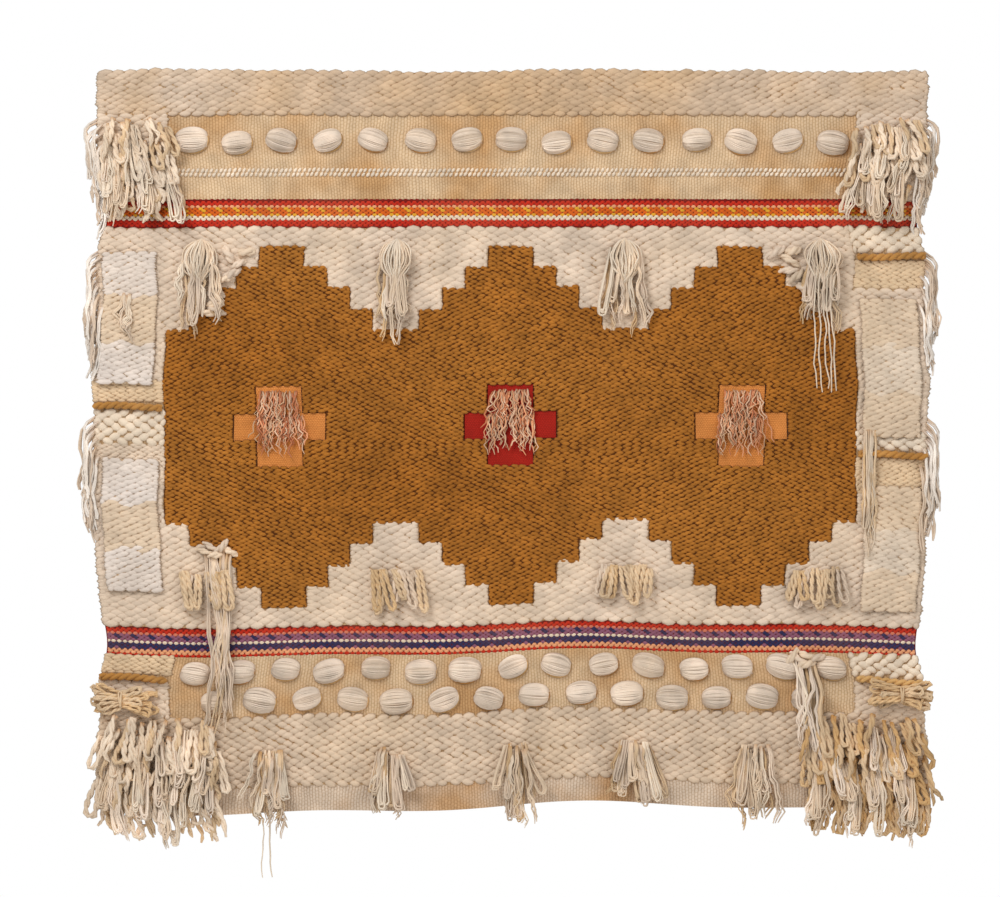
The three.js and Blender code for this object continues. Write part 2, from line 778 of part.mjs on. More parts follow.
function addTassels() {
  TASSELS.forEach((row, n) => {
    const pitch = 2 * row.radius + BAR.between;
    const deep = row.layers * pitch + BAR.front;
    const halfBar = row.width / 2 + row.radius + BAR.margin;
    const bar = rootBar({
      left: row.x - halfBar,
      right: row.x + halfBar,
      top: row.z + BAR.top,
      bottom: row.z - BAR.bottom,
      seat: FACE_SEAT,
      thickness: deep,
    });
    const head = lump({
      x: row.x,
      z: row.z + BAR.top + HEAD.lift,
      seat: FACE_SEAT + HEAD.inset,
      halfWidth: row.width * HEAD.share,
      halfHeight: HEAD.halfHeight,
      rise: deep,
    });
    const strands = strandLayers({ ...row, seat: FACE_SEAT, pitch, seed: n * 53.1 });
    if (row.name === LONG_THREADS.tassel) {
      for (const offset of LONG_THREADS.offsets) {
        strands.push(strand({
          x: row.x + offset,
          depth: FACE_SEAT + LONG_THREADS.layer * pitch,
          z: row.z,
          length: LONG_THREADS.length,
          lean: offset * LONG_THREADS.lean,
          forward: LONG_THREADS.forward,
          radius: LONG_THREADS.radius,
          seed: offset,
          segments: LONG_THREADS.segments,
        }));
      }
    }
    addPiece(row.name, fuse([bar, head, ...strands]), row.width > CLUSTER_WIDTH ? 'ivory' : 'cream');
  });
}

// One yarn of the side fringe: out from its root in the strip, then down
function fringeYarn({ side, near, rootZ, lane, layer, length, turn }) {
  const middle = FRINGE_STRIP.near + FRINGE_STRIP.thickness / 2;
  const far = near + FRINGE_STRIP.width;
  const { radius, tipRadius, rootRadius, rootPitch, bend, bendStep, waist, sway } = FRINGE_YARN;
  const outX = far + FRINGE_LANES.clear + radius + lane * FRINGE_LANES.pitch;
  const outDepth = middle + layer * FRINGE_LANES.pitch;
  const points = [
    new THREE.Vector3(side * (near + FRINGE_STRIP.width / 2), -middle - layer * rootPitch, rootZ),
    new THREE.Vector3(side * outX, -outDepth, rootZ - bend - lane * bendStep),
    new THREE.Vector3(side * (outX + sway), -outDepth, rootZ - length * waist),
    new THREE.Vector3(side * (outX - sway / 2), -outDepth, rootZ - length),
  ];
  return yarn(points, [rootRadius, radius, radius, tipRadius], 3, turn);
}

function addFringes() {
  const near = HALF_WIDTH + SEAT_GAP;
  const far = near + FRINGE_STRIP.width;
  for (const side of [-1, 1]) {
    FRINGE_TIERS.forEach((tier, n) => {
      const bar = reliefSheet({
        xs: side < 0 ? [-far, -near] : [near, far],
        zs: linesBetween(ROW_LINES, tier.bottom, tier.top),
        frontAt: () => FRINGE_STRIP.near + FRINGE_STRIP.thickness,
        back: FRINGE_STRIP.near,
      });
      const roots = spread(tier.bottom + FRINGE_YARN.margin, tier.top - FRINGE_YARN.margin, tier.strands);
      const strands = roots.map((rootZ, k) => fringeYarn({
        side,
        near,
        rootZ,
        lane: Math.floor((k * FRINGE_LANES.across) / tier.strands),
        layer: (k % FRINGE_LANES.deep) - 1,
        length: tier.length + FRINGE_LANES.ragged * scatter(side * 5 + n * 11 + k),
        turn: k,
      }));
      addPiece(`fringe_${side < 0 ? 'left' : 'right'}_${tier.name}`, fuse([bar, ...strands]), 'ivory');
    });
  }
}

// A loop that leaves its bar, turns at its foot and comes back
function loopYarn(middle, top, reach) {
  const depth = FACE_SEAT + LOOP.radius + LOOP.clear;
  const points = [new THREE.Vector3(middle - LOOP.halfSpan, -depth, top)];
  for (let bend = 0; bend <= LOOP.bends; bend += 1) {
    const angle = Math.PI * (bend / LOOP.bends);
    const px = middle - LOOP.halfSpan * Math.cos(angle);
    const pz = top - reach + LOOP.halfSpan * LOOP.stretch * (1 - Math.sin(angle));
    points.push(new THREE.Vector3(px, -depth - LOOP.forward, pz));
  }
  points.push(new THREE.Vector3(middle + LOOP.halfSpan, -depth, top));
  return yarn(points, points.map(() => LOOP.radius), 3);
}

function addLoops() {
  const halfRow = ((LOOP.count - 1) * LOOP.pitch) / 2;
  const halfBar = halfRow + LOOP.halfSpan + LOOP.radius + BAR.margin;
  for (const row of LOOPS) {
    const bar = rootBar({
      left: row.x - halfBar,
      right: row.x + halfBar,
      top: row.z + BAR.top,
      bottom: row.z - BAR.bottom,
      seat: FACE_SEAT,
      thickness: 2 * LOOP.radius + BAR.margin,
    });
    const loops = spread(row.x - halfRow, row.x + halfRow, LOOP.count).map((middle, k) => (
      loopYarn(middle, row.z, LOOP.reach + LOOP.ragged * scatter(row.x + k))
    ));
    addPiece(row.name, fuse([bar, ...loops]), 'ochre');
  }
}

addCloth();
addPanels();
addBobbles();
addTabs();
addTassels();
addFringes();
addLoops();

export default tapestry;
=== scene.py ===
"""A large woven wall tapestry: grounds, stitches, bobbles, tabs, tassels and fringe on the fixed frame."""
import logging
import math
from dataclasses import dataclass, field
from enum import Enum
from typing import Callable, Protocol, Sequence

import bmesh
import bpy
import numpy as np
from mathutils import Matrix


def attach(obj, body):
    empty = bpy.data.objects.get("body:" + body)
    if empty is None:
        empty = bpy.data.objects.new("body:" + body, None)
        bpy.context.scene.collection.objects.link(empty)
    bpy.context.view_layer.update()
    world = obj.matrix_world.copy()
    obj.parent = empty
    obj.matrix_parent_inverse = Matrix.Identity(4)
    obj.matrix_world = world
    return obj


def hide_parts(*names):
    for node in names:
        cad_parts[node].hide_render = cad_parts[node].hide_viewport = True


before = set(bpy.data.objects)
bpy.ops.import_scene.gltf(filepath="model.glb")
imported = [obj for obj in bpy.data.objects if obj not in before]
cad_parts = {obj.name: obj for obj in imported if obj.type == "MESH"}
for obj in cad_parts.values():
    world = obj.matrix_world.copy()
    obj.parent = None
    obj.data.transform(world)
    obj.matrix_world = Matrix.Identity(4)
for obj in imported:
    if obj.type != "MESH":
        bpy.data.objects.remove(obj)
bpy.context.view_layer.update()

LOG = logging.getLogger("tapestry")
MM = 0.001
TURN = 2 * math.pi
Array = np.ndarray
Colour = tuple[float, float, float]
Place = tuple[float, float, float]
Span = tuple[float, float]
Extent = tuple[float, float, float, float]
Draws = np.random.Generator
Piece = bpy.types.Object
Socket = bpy.types.NodeSocket
Inside = Callable[[Array, float], Array]
DyeRule = Callable[[Array, Array, int], Array]


class Zone(Enum):
    """Weave zones of the flat layout, each with its number in the zone map."""

    HEADING = 0
    PLAIN = 1
    TWINED = 2
    BAND_UPPER = 3
    BAND_LOWER = 4
    GROUND = 5
    BROWN = 6
    WINDOW = 7
    BORDER = 8
    SKIRT = 9
    HEM = 10


class Side(Enum):
    """Left or right edge of the cloth, as seen from the front."""

    LEFT = -1
    RIGHT = 1


def rgb(red: int, green: int, blue: int) -> Colour:
    """Turn a display colour of 0 to 255 into linear light.

    Args:
        red: Red of the display colour.
        green: Green of the display colour.
        blue: Blue of the display colour.

    Returns:
        The linear colour, 0 to 1.
    """
    def line(value: int) -> float:
        """Return one channel in linear light."""
        share = value / 255
        return share / 12.92 if share <= 0.04045 else ((share + 0.055) / 1.055) ** 2.4

    return line(red), line(green), line(blue)


CREAM = rgb(221, 202, 183)
# Painted shade: the darker colour of the cream stitches' gaps and of the ground cloth under them.
CREAM_GAP_SHADE = rgb(186, 157, 122)
IVORY = rgb(234, 219, 200)
YARN_WHITE = rgb(229, 208, 184)
FRINGE_WHITE = rgb(242, 234, 226)
BOBBLE_WHITE = rgb(240, 223, 206)
HEADING_CREAM_DYE = rgb(210, 190, 170)
HEADING_OCHRE_DYE = rgb(195, 166, 134)
PLAIN_CREAM = rgb(222, 195, 161)
TAB_WHITE = rgb(223, 212, 204)
TAB_PALE = rgb(222, 206, 188)
# Painted shade: the darker colour of the tab stitches' gaps and of the tab ground under them.
TAB_GAP_SHADE = rgb(198, 174, 146)
TAB_PEACH = rgb(218, 197, 173)
SKIRT_DYE = rgb(214, 193, 171)
OCHRE_CREAM = rgb(219, 193, 160)
STRAW = rgb(216, 184, 142)
LOCK_CREAM = rgb(236, 218, 197)
LOCK_STRAW = rgb(206, 168, 118)
OCHRE = rgb(208, 166, 108)
DEEP_OCHRE = rgb(182, 130, 66)
# Painted shade: the darker colours of the yarns' gaps, roots and back layers.
YARN_GAP_SHADE = rgb(190, 140, 82)
ROVING_GAP_SHADE = rgb(190, 136, 72)
FRAYED_GAP_SHADE = rgb(110, 60, 34)
BROWN = rgb(172, 112, 44)
# Painted shade in the brown stitches' gaps and on the brown ground under them; also the colour of the brown
# ground's real stains.
BROWN_GAP_SHADE_AND_STAIN = rgb(98, 54, 14)
BROWN_LOTS = (rgb(164, 104, 38), rgb(174, 114, 46))
ORANGE = rgb(218, 142, 74)
CRIMSON = rgb(166, 32, 20)
DARK_RED = rgb(120, 20, 14)
RED = rgb(190, 44, 24)
PEACH = rgb(226, 160, 118)
# Painted shade: the dark colour of the band stitches' gaps.
BAND_GAP_SHADE = rgb(70, 30, 22)
BAND_ORANGE = rgb(208, 96, 26)
YELLOW = rgb(218, 162, 48)
VIOLET = rgb(138, 88, 112)
NAVY = rgb(48, 46, 84)
PINK = rgb(206, 120, 96)
BAND_WHITE = rgb(226, 208, 186)
TUFT_DYES = (PEACH, rgb(214, 176, 140), rgb(196, 122, 84), rgb(226, 190, 160))
UPPER_STRIPES = (DARK_RED, RED, PEACH, BAND_ORANGE, BAND_ORANGE, YELLOW, BAND_WHITE, RED, RED, DARK_RED)
LOWER_STRIPES = (DARK_RED, RED, PINK, VIOLET, VIOLET, BAND_WHITE, NAVY, NAVY, PEACH, RED)


@dataclass(frozen=True)
class Pull:
    """A height where tighter weave draws the side edges in, in millimetres."""

    middle: float
    amount: float
    spread: float


@dataclass(frozen=True)
class Ripple:
    """A sine of the hung cloth, in millimetres: its size, the length of a radian and its start."""

    size: float
    length: float
    start: float = 0.0

    def at(self, place: Array) -> Array:
        """Work out the ripple at each place."""
        return self.size * np.sin(place / self.length + self.start)


@dataclass(frozen=True)
class Wave:
    """A slow forward wave of the hung cloth, in millimetres."""

    rise: float
    length: float
    slant: float
    start: float


@dataclass(frozen=True)
class Loom:
    """The flat layout, in millimetres, and how it hangs. Spans run from their top to their foot."""

    half_width: float = 598.0
    drop: float = 1067.0
    step_width: float = 33.2
    step_height: float = 30.0
    steps: int = 5
    lozenges: int = 3
    reach: float = 260.0
    middle: float = -513.5
    border_columns: int = 2
    field_steps: tuple[float, ...] = (20, 60, 100, 140, 170, 200, 230, 260)
    windows: tuple[Span, ...] = ((20, 66.4), (60, 33.2))
    heading_foot: float = -62.0
    twined: Span = (-140.0, -152.0)
    band_upper: Span = (-185.0, -227.0)
    band_lower: Span = (-800.0, -842.0)
    skirt_top: float = -930.0
    hem_top: float = -1030.0
    bobble_line: float = -101.0
    extra_lines: tuple[float, ...] = (-31.0, -886.0, -980.0)
    pulls: tuple[Pull, ...] = (
        Pull(-206, 12, 48), Pull(-513, -5, 120), Pull(-821, 14, 52), Pull(-1067, -5, 70),
    )
    edge_ripples: tuple[Ripple, ...] = (Ripple(1.8, 31.0), Ripple(1.2, 13.7))
    top_ripple: Ripple = Ripple(1.6, 95.0)
    top_fade: float = 12.0
    hem_ripples: tuple[Ripple, ...] = (Ripple(8.0, 168.0, 0.7), Ripple(3.5, 61.0))
    sway: Ripple = Ripple(3.0, 310.0)
    waves: tuple[Wave, ...] = (Wave(2.8, 430, 0.0041, 0.4), Wave(1.9, 705, -0.0058, 2.2))
    waves_start: float = -62.0
    waves_full: float = -400.0

    @property
    def lozenge_width(self) -> float:
        """Width of one lozenge."""
        return 2 * self.steps * self.step_width

    @property
    def field_half(self) -> float:
        """Half of the field's width."""
        return self.lozenges * self.lozenge_width / 2

    def edge_pull(self, z: Array) -> Array:
        """Work out how far the side edges are drawn in at each height."""
        total = sum(ripple.at(z) for ripple in self.edge_ripples)
        for pull in self.pulls:
            total = total + pull.amount * np.exp(-(((z - pull.middle) / pull.spread) ** 2))
        return total

    def forward_wave(self, x: Array, z: Array) -> Array:
        """Work out how far the waves bring the cloth forward.

        Args:
            x: Places across.
            z: Heights.

        Returns:
            The forward offset at each place.
        """
        share = np.clip((self.waves_start - z) / (self.waves_start - self.waves_full), 0, 1)
        total = np.zeros(np.broadcast(x, z).shape)
        for wave in self.waves:
            phase = TURN * x / wave.length + wave.slant * z + wave.start
            total = total + wave.rise * (1 + np.sin(phase))
        return total * share * share * (3 - 2 * share)

    def hang(self, points: Array) -> Array:
        """Move points of the flat layout to where they hang.

        Args:
            points: Rows of x, y, z in millimetres, y nought at the back and negative in front.

        Returns:
            The hung points in metres.
        """
        x, y, z = points[..., 0], points[..., 1], points[..., 2]
        down = -z / self.drop
        top_wave = self.top_ripple.at(x) * np.maximum(0, 1 - down * self.top_fade)
        hem_wave = sum(ripple.at(x) for ripple in self.hem_ripples) * down * down
        across = x * (1 - self.edge_pull(z) / self.half_width) + self.sway.at(z)
        return np.stack([across, y - self.forward_wave(x, z), z + top_wave + hem_wave], axis=-1) * MM

    def column_lines(self) -> list[float]:
        """Lines across where pieces of the cloth may change."""
        left = np.linspace(-self.half_width, -self.field_half, self.border_columns + 1)
        centre = np.linspace(-self.field_half, self.field_half, 2 * self.lozenges * self.steps + 1)
        return sorted({round(float(v), 4) for v in (*left, *centre, *(-left))})

    def row_lines(self) -> list[float]:
        """Lines down where pieces of the cloth may change, from the top."""
        lines = {0.0, self.heading_foot, self.bobble_line, *self.twined, *self.band_upper, *self.band_lower,
                 self.skirt_top, self.hem_top, -self.drop, *self.extra_lines}
        for step in self.field_steps:
            lines.update((self.middle + step, self.middle - step))
        return sorted(lines, reverse=True)

    def zone(self, x: Array, z: Array) -> Array:
        """Find the weave zone of each place.

        Args:
            x: Places across.
            z: Heights.

        Returns:
            Zone numbers.
        """
        x, z = np.broadcast_arrays(np.asarray(x, float), np.asarray(z, float))
        last = (self.lozenges - 1) / 2
        nearest = np.clip(np.round(x / self.lozenge_width), -last, last)
        out = np.abs(x - nearest * self.lozenge_width)
        up = np.abs(z - self.middle)
        in_field = np.abs(x) < self.field_half
        in_window = np.zeros(x.shape, bool)
        for reach, half_width in self.windows:
            in_window |= (up < reach) & (out < half_width)

        def within(top: float, foot: float) -> Array:
            """Tell which heights lie in a span."""
            return (z <= top) & (z > foot)

        tests = {
            Zone.BAND_UPPER: within(*self.band_upper),
            Zone.BAND_LOWER: within(*self.band_lower),
            Zone.HEM: z <= self.hem_top,
            Zone.BORDER: np.abs(x) > self.field_half,
            Zone.HEADING: z > self.heading_foot,
            Zone.TWINED: within(*self.twined),
            Zone.WINDOW: in_window & in_field,
            Zone.BROWN: (up < self.reach - np.floor(out / self.step_width) * self.step_height) & in_field,
            Zone.GROUND: within(self.band_upper[1], self.band_lower[0]),
            Zone.PLAIN: z > self.skirt_top,
        }
        return np.select(list(tests.values()), [zone.value for zone in tests], Zone.SKIRT.value)


LOOM = Loom()


def scatter(rng: Draws, size: float, shape: int | tuple[int, ...] | None = None) -> Array | float:
    """Draw even scatter between -size and size, one number or an array of a shape."""
    return rng.uniform(-size, size, shape)


def slanted(x: Array, z: Array, across: float, down: float) -> Array:
    """Ripple slantwise over the cloth, between -1 and 1, with the lengths of a radian across and down."""
    return np.sin(x / across + z / down)


def blend(share: Array, first: Colour, second: Colour) -> Array:
    """Mix two dyes by the share of the second at each place."""
    amount = share[:, None]
    return np.array(first) * (1 - amount) + np.array(second) * amount


def turned(middle: Span, along: Array, up: Array, tilt: float) -> tuple[Array, Array]:
    """Turn places along and up about a middle, and return their places across and their heights."""
    x = middle[0] + along * math.cos(tilt) - up * math.sin(tilt)
    return x, middle[1] + along * math.sin(tilt) + up * math.cos(tilt)


def finer(lines: Sequence[float], cell: float) -> list[float]:
    """Divide the spans between lines into cells.

    Args:
        lines: Lines in order.
        cell: Largest cell.

    Returns:
        The lines with those between them.
    """
    result = [float(lines[0])]
    for start, end in zip(lines, lines[1:]):
        count = max(1, math.ceil(abs(end - start) / cell - 1e-6))
        result.extend(float(start + (end - start) * (k + 1) / count) for k in range(count))
    return result


def lines_between(lines: Sequence[float], first: float, last: float) -> list[float]:
    """Pick the lines between two ends, with the ends themselves."""
    low, high = min(first, last), max(first, last)
    inside = [v for v in lines if low + 1 < v < high - 1]
    return [first, *sorted(inside, reverse=first > last), last]


def new_mesh(name: str, points: Array, edges: Sequence[tuple[int, int]] = (),
             faces: Sequence[tuple[int, ...]] = ()) -> bpy.types.Mesh:
    """Make a mesh of points in metres."""
    mesh = bpy.data.meshes.new(name)
    mesh.from_pydata(np.asarray(points).tolist(), edges, faces)
    return mesh


def give(mesh: bpy.types.Mesh, name: str, rows: Array, domain: str = "POINT") -> None:
    """Give a mesh an attribute.

    Args:
        mesh: The mesh.
        name: The attribute's name.
        rows: A number, three numbers or a colour with its opacity for each element.
        domain: What the rows belong to.
    """
    kinds = {1: ("FLOAT", "value"), 3: ("FLOAT_VECTOR", "vector"), 4: ("FLOAT_COLOR", "color")}
    kind, key = kinds[rows.shape[1] if rows.ndim > 1 else 1]
    attribute = mesh.attributes.new(name, kind, domain)
    attribute.data.foreach_set(key, np.ascontiguousarray(rows, np.float32).ravel())


def opaque(dyes: Array) -> Array:
    """Add full opacity to dyes."""
    return np.column_stack([dyes, np.ones(len(dyes))])


def link(mesh: bpy.types.Mesh, name: str) -> Piece:
    """Put a mesh in the scene as an object at the origin."""
    piece = bpy.data.objects.new(name, mesh)
    bpy.context.scene.collection.objects.link(piece)
    return piece


def facing_out(mesh: bpy.types.Mesh) -> bpy.types.Mesh:
    """Turn a closed mesh's faces outwards where its volume is negative, and return it."""
    shape = bmesh.new()
    shape.from_mesh(mesh)
    if shape.calc_volume(signed=True) < 0:
        mesh.flip_normals()
    shape.free()
    return mesh


def dome_faces(rings: int, sides: int) -> list[tuple[int, ...]]:
    """List the faces of a closed dome.

    Args:
        rings: Rings of points from the foot up, below the peak.
        sides: Points in a ring.

    Returns:
        The flat foot, the faces between the rings and those round the peak.
    """
    faces: list[tuple[int, ...]] = [tuple(range(sides))]
    pairs = [(side, (side + 1) % sides) for side in range(sides)]
    for start in range(0, (rings - 1) * sides, sides):
        faces.extend((start + a, start + sides + a, start + sides + b, start + b) for a, b in pairs)
    last = (rings - 1) * sides
    faces.extend((last + a, last + sides, last + b) for a, b in pairs)
    return faces


def settle(piece: Piece, slot: str, *nodes: str) -> Piece:
    """Tie a piece to the frame and report it.

    Args:
        piece: The finished piece.
        slot: Name of its material slot, not used.
        nodes: The frame's nodes that it stands for.

    Returns:
        The piece.
    """
    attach(piece, "root")
    if nodes:
        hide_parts(*nodes)
    piece.data.calc_loop_triangles()
    LOG.info("%s: %d triangles", piece.name, len(piece.data.loop_triangles))
    return piece


@dataclass
class ReliefSheet:
    """A closed sheet over a grid of cells whose front stands at each cell's depth."""

    xs: list[float]
    zs: list[float]
    front: Array
    back: float = 0.0
    inset: float = 0.0
    bulge: Callable[[float, float], float] = lambda x, z: 0.0
    points: list[Place] = field(default_factory=list)
    flat: list[Span] = field(default_factory=list)
    faces: list[tuple[int, ...]] = field(default_factory=list)
    on_back: list[bool] = field(default_factory=list)
    known: dict[tuple[int, int, float], int] = field(default_factory=dict)

    def __post_init__(self) -> None:
        """Put a rim of missing cells round the fronts."""
        self.front = np.pad(self.front, 1, constant_values=math.nan)

    @staticmethod
    def cut(extent: Extent, cell: float, depth: Callable[[Array], Array],
            **settings: object) -> "ReliefSheet":
        """Cut a sheet whose cells end at the loom's lines.

        Args:
            extent: Left, right, top and foot of the sheet.
            cell: Largest cell.
            depth: Depth of the front for an array of zone numbers.
            settings: The other fields of the sheet.

        Returns:
            The sheet, not built yet.
        """
        xs = finer(lines_between(LOOM.column_lines(), *extent[:2]), cell)
        zs = finer(lines_between(LOOM.row_lines(), *extent[2:]), cell)
        middles = [(np.array(line[:-1]) + np.array(line[1:])) / 2 for line in (xs, zs)]
        return ReliefSheet(xs, zs, depth(LOOM.zone(*np.meshgrid(*middles, indexing="ij"))), **settings)

    def flat_size(self) -> Span:
        """Width and length of the flat sheet in metres."""
        return (self.xs[-1] - self.xs[0]) * MM, (self.zs[0] - self.zs[-1]) * MM

    def area(self) -> float:
        """Flat area of the cells that the sheet has, in square metres."""
        areas = np.outer(np.abs(np.diff(self.xs)), np.abs(np.diff(self.zs)))
        return float(areas[~np.isnan(self.front[1:-1, 1:-1])].sum()) * MM * MM

    def level(self, i: int, j: int) -> float:
        """Depth of a cell's front, or not-a-number outside the sheet."""
        return float(self.front[i + 1, j + 1])

    def corner(self, i: int, j: int, depth: float) -> int:
        """Find or add the corner of the grid at a depth.

        Args:
            i: Line across.
            j: Line down.
            depth: Depth from the back plane.

        Returns:
            The corner's number.
        """
        key = (i, j, round(depth, 4))
        if key not in self.known:
            (a, b), (c, d) = (~np.isnan(self.front[i:i + 2, j:j + 2])).astype(int)
            x = self.xs[i] + self.inset * float(np.sign(c + d - a - b))
            z = self.zs[j] + self.inset * float(np.sign(a + c - b - d))
            self.known[key] = len(self.points)
            self.points.append((x, -depth - self.bulge(x, z), z))
            self.flat.append((x, z))
        return self.known[key]

    def chain(self, i: int, j: int, low: float, high: float) -> list[int]:
        """List the corners up a wall's upright edge."""
        around = self.front[i:i + 2, j:j + 2]
        between = around[(around > low) & (around < high)].tolist()
        return [self.corner(i, j, depth) for depth in sorted({low, high, *between})]

    def wall(self, first: tuple[int, int], second: tuple[int, int], depths: Span, across: bool) -> None:
        """Add a wall between two neighbouring cells where their depths differ.

        Args:
            first: Grid place of the wall's first edge.
            second: Grid place of its second edge.
            depths: Depths of the cell before it and the cell after it.
            across: Whether the two cells lie side by side.
        """
        before, after = (self.back if math.isnan(depth) else depth for depth in depths)
        if before == after:
            return
        low, high = sorted((before, after))
        left = self.chain(*first, low, high)
        right = self.chain(*second, low, high)
        loop = [*left, *reversed(right)]
        self.faces.append(tuple(loop if (before > after) == across else reversed(loop)))
        self.on_back.append(False)

    def build(self) -> "ReliefSheet":
        """Make the corners and faces, and return the sheet."""
        columns, rows = len(self.xs) - 1, len(self.zs) - 1
        for i in range(columns):
            for j in range(rows):
                depth = self.level(i, j)
                if math.isnan(depth):
                    continue
                ring = ((i, j), (i, j + 1), (i + 1, j + 1), (i + 1, j))
                self.faces.append(tuple(self.corner(a, b, depth) for a, b in ring))
                self.faces.append(tuple(self.corner(a, b, self.back) for a, b in reversed(ring)))
                self.on_back.extend((False, True))
        for i in range(columns + 1):
            for j in range(rows):
                self.wall((i, j), (i, j + 1), (self.level(i - 1, j), self.level(i, j)), True)
        for j in range(rows + 1):
            for i in range(columns):
                self.wall((i, j), (i + 1, j), (self.level(i, j - 1), self.level(i, j)), False)
        return self

    def dyes(self, fronts: dict[Zone, Colour], backs: dict[Zone, Colour]) -> Array:
        """Dye the corners of every face by its zone, the middle window's back with its own dye.

        Args:
            fronts: Dye of each zone on the front, cream where it isn't given.
            backs: Dye of each zone on the back.

        Returns:
            One colour for each corner of each face.
        """
        flat = np.array(self.flat)
        middles = np.array([flat[list(face)].mean(axis=0) for face in self.faces])
        zones = LOOM.zone(middles[:, 0], middles[:, 1])
        tables = (np.array([table.get(zone, CREAM) for zone in Zone]) for table in (fronts, backs))
        front, back = (table[zones] for table in tables)
        on_back = np.array(self.on_back)
        dyes = np.where(on_back[:, None], back, front)
        in_middle = np.abs(middles[:, 0]) < LOOM.lozenge_width / 2
        dyes[on_back & in_middle & (zones == Zone.WINDOW.value)] = CRIMSON
        return opaque(np.repeat(dyes, [len(face) for face in self.faces], axis=0))

    def lay(self, name: str, fronts: dict[Zone, Colour], backs: dict[Zone, Colour],
            finish: bpy.types.Material) -> Piece:
        """Make the hung sheet, its map Loom holding the flat places in metres.

        Args:
            name: The piece's name.
            fronts: Dye of each zone on the front.
            backs: Dye of each zone on the back.
            finish: Its material.

        Returns:
            The piece, smooth but for its sharp steps.
        """
        self.build()
        mesh = new_mesh(name, LOOM.hang(np.array(self.points)), faces=self.faces)
        layer = mesh.uv_layers.new(name="Loom")
        loops = np.concatenate([np.array(face) for face in self.faces])
        layer.data.foreach_set("uv", (np.array(self.flat)[loops] * MM).astype(np.float32).ravel())
        mesh.update()
        give(mesh, "dye", self.dyes(fronts, backs), "CORNER")
        mesh.shade_smooth()
        mesh.set_sharp_from_angle(angle=math.radians(50))
        mesh.materials.append(finish)
        return link(mesh, name)


class NodeBench:
    """Adds and joins the nodes of one tree."""

    def __init__(self, tree: bpy.types.NodeTree) -> None:
        """Start work on a tree."""
        self.tree = tree

    def put(self, node: bpy.types.Node, inputs: dict[int | str, object]) -> None:
        """Set a node's inputs, or join those whose value is a socket."""
        for key, value in inputs.items():
            if isinstance(value, bpy.types.NodeSocket):
                self.tree.links.new(value, node.inputs[key])
            else:
                node.inputs[key].default_value = value

    def add(self, kind: str, inputs: dict[int | str, object] | None = None,
            **settings: object) -> bpy.types.Node:
        """Add a node.

        Args:
            kind: The node's type.
            inputs: Values or sockets for its inputs.
            settings: Values of its properties.

        Returns:
            The node.
        """
        node = self.tree.nodes.new(kind)
        for key, value in settings.items():
            setattr(node, key, value)
        self.put(node, inputs or {})
        return node

    def math(self, operation: str, *values: object) -> Socket:
        """Add a number node and return its result."""
        return self.add("ShaderNodeMath", dict(enumerate(values)), operation=operation).outputs[0]

    def wave(self, value: object) -> Socket:
        """Turn a count into a ridge for each whole number, 0 between them."""
        return self.math("ABSOLUTE", self.math("SINE", self.math("MULTIPLY", value, math.pi)))

    def half_odd(self, value: object) -> Socket:
        """Give half for each odd whole part of a count, and nought for each even one."""
        return self.math("MULTIPLY", self.math("FLOORED_MODULO", self.math("FLOOR", value), 2.0), 0.5)

    def mix(self, share: object, first: object, second: object, blend_type: str = "MIX") -> Socket:
        """Add a colour mix node and return its colour.

        Args:
            share: Amount of the second colour.
            first: The first colour.
            second: The second colour.
            blend_type: How the two are blended.

        Returns:
            The mixed colour.
        """
        ends = [(*end, 1.0) if isinstance(end, tuple) and len(end) == 3 else end for end in (first, second)]
        inputs = {0: share, 6: ends[0], 7: ends[1]}
        return self.add("ShaderNodeMix", inputs, data_type="RGBA", blend_type=blend_type).outputs[2]

    def noise(self, place: object, scale: float, detail: float = 3.0) -> Socket:
        """Add a noise node and return its value."""
        inputs = {"Vector": place, "Scale": scale, "Detail": detail}
        return self.add("ShaderNodeTexNoise", inputs).outputs["Fac"]

    def spread(self, value: object, low: float, high: float, to_low: float, to_high: float) -> Socket:
        """Map a range onto another and return the result."""
        return self.add("ShaderNodeMapRange", dict(enumerate((value, low, high, to_low, to_high)))).outputs[0]


class FinishBench(NodeBench):
    """The nodes of one cloth material, which reads the attribute dye."""

    def __init__(self, name: str) -> None:
        """Start a material."""
        self.material = bpy.data.materials.new(name)
        self.material.use_nodes = True
        super().__init__(self.material.node_tree)
        self.place = self.add("ShaderNodeTexCoord").outputs["Object"]
        self.dye = self.add("ShaderNodeAttribute", attribute_name="dye").outputs["Color"]

    def toned(self, patches: object, stain: Colour, scale: float, tones: Span) -> Socket:
        """Stain the dye where the patches are, and vary it between two tones at a scale."""
        tone = self.spread(self.noise(self.place, scale, 4.0), 0.3, 0.7, *tones)
        return self.mix(1.0, self.mix(patches, self.dye, stain), tone, "MULTIPLY")

    def close(self, colour: Socket, relief: dict[str, object], fibres: Socket, rough: Span,
              sheen: float) -> bpy.types.Material:
        """Join everything to the shader.

        Args:
            colour: The colour.
            relief: Inputs of the bump.
            fibres: Noise that roughens the surface.
            rough: Least and most roughness.
            sheen: Amount of sheen.

        Returns:
            The material.
        """
        self.put(self.tree.nodes["Principled BSDF"], {
            "Base Color": colour,
            "Normal": self.add("ShaderNodeBump", relief).outputs["Normal"],
            "Roughness": self.spread(fibres, 0.3, 0.7, *rough),
            "Sheen Weight": sheen,
            "Sheen Roughness": 0.5,
            "Specular IOR Level": 0.15,
        })
        return self.material


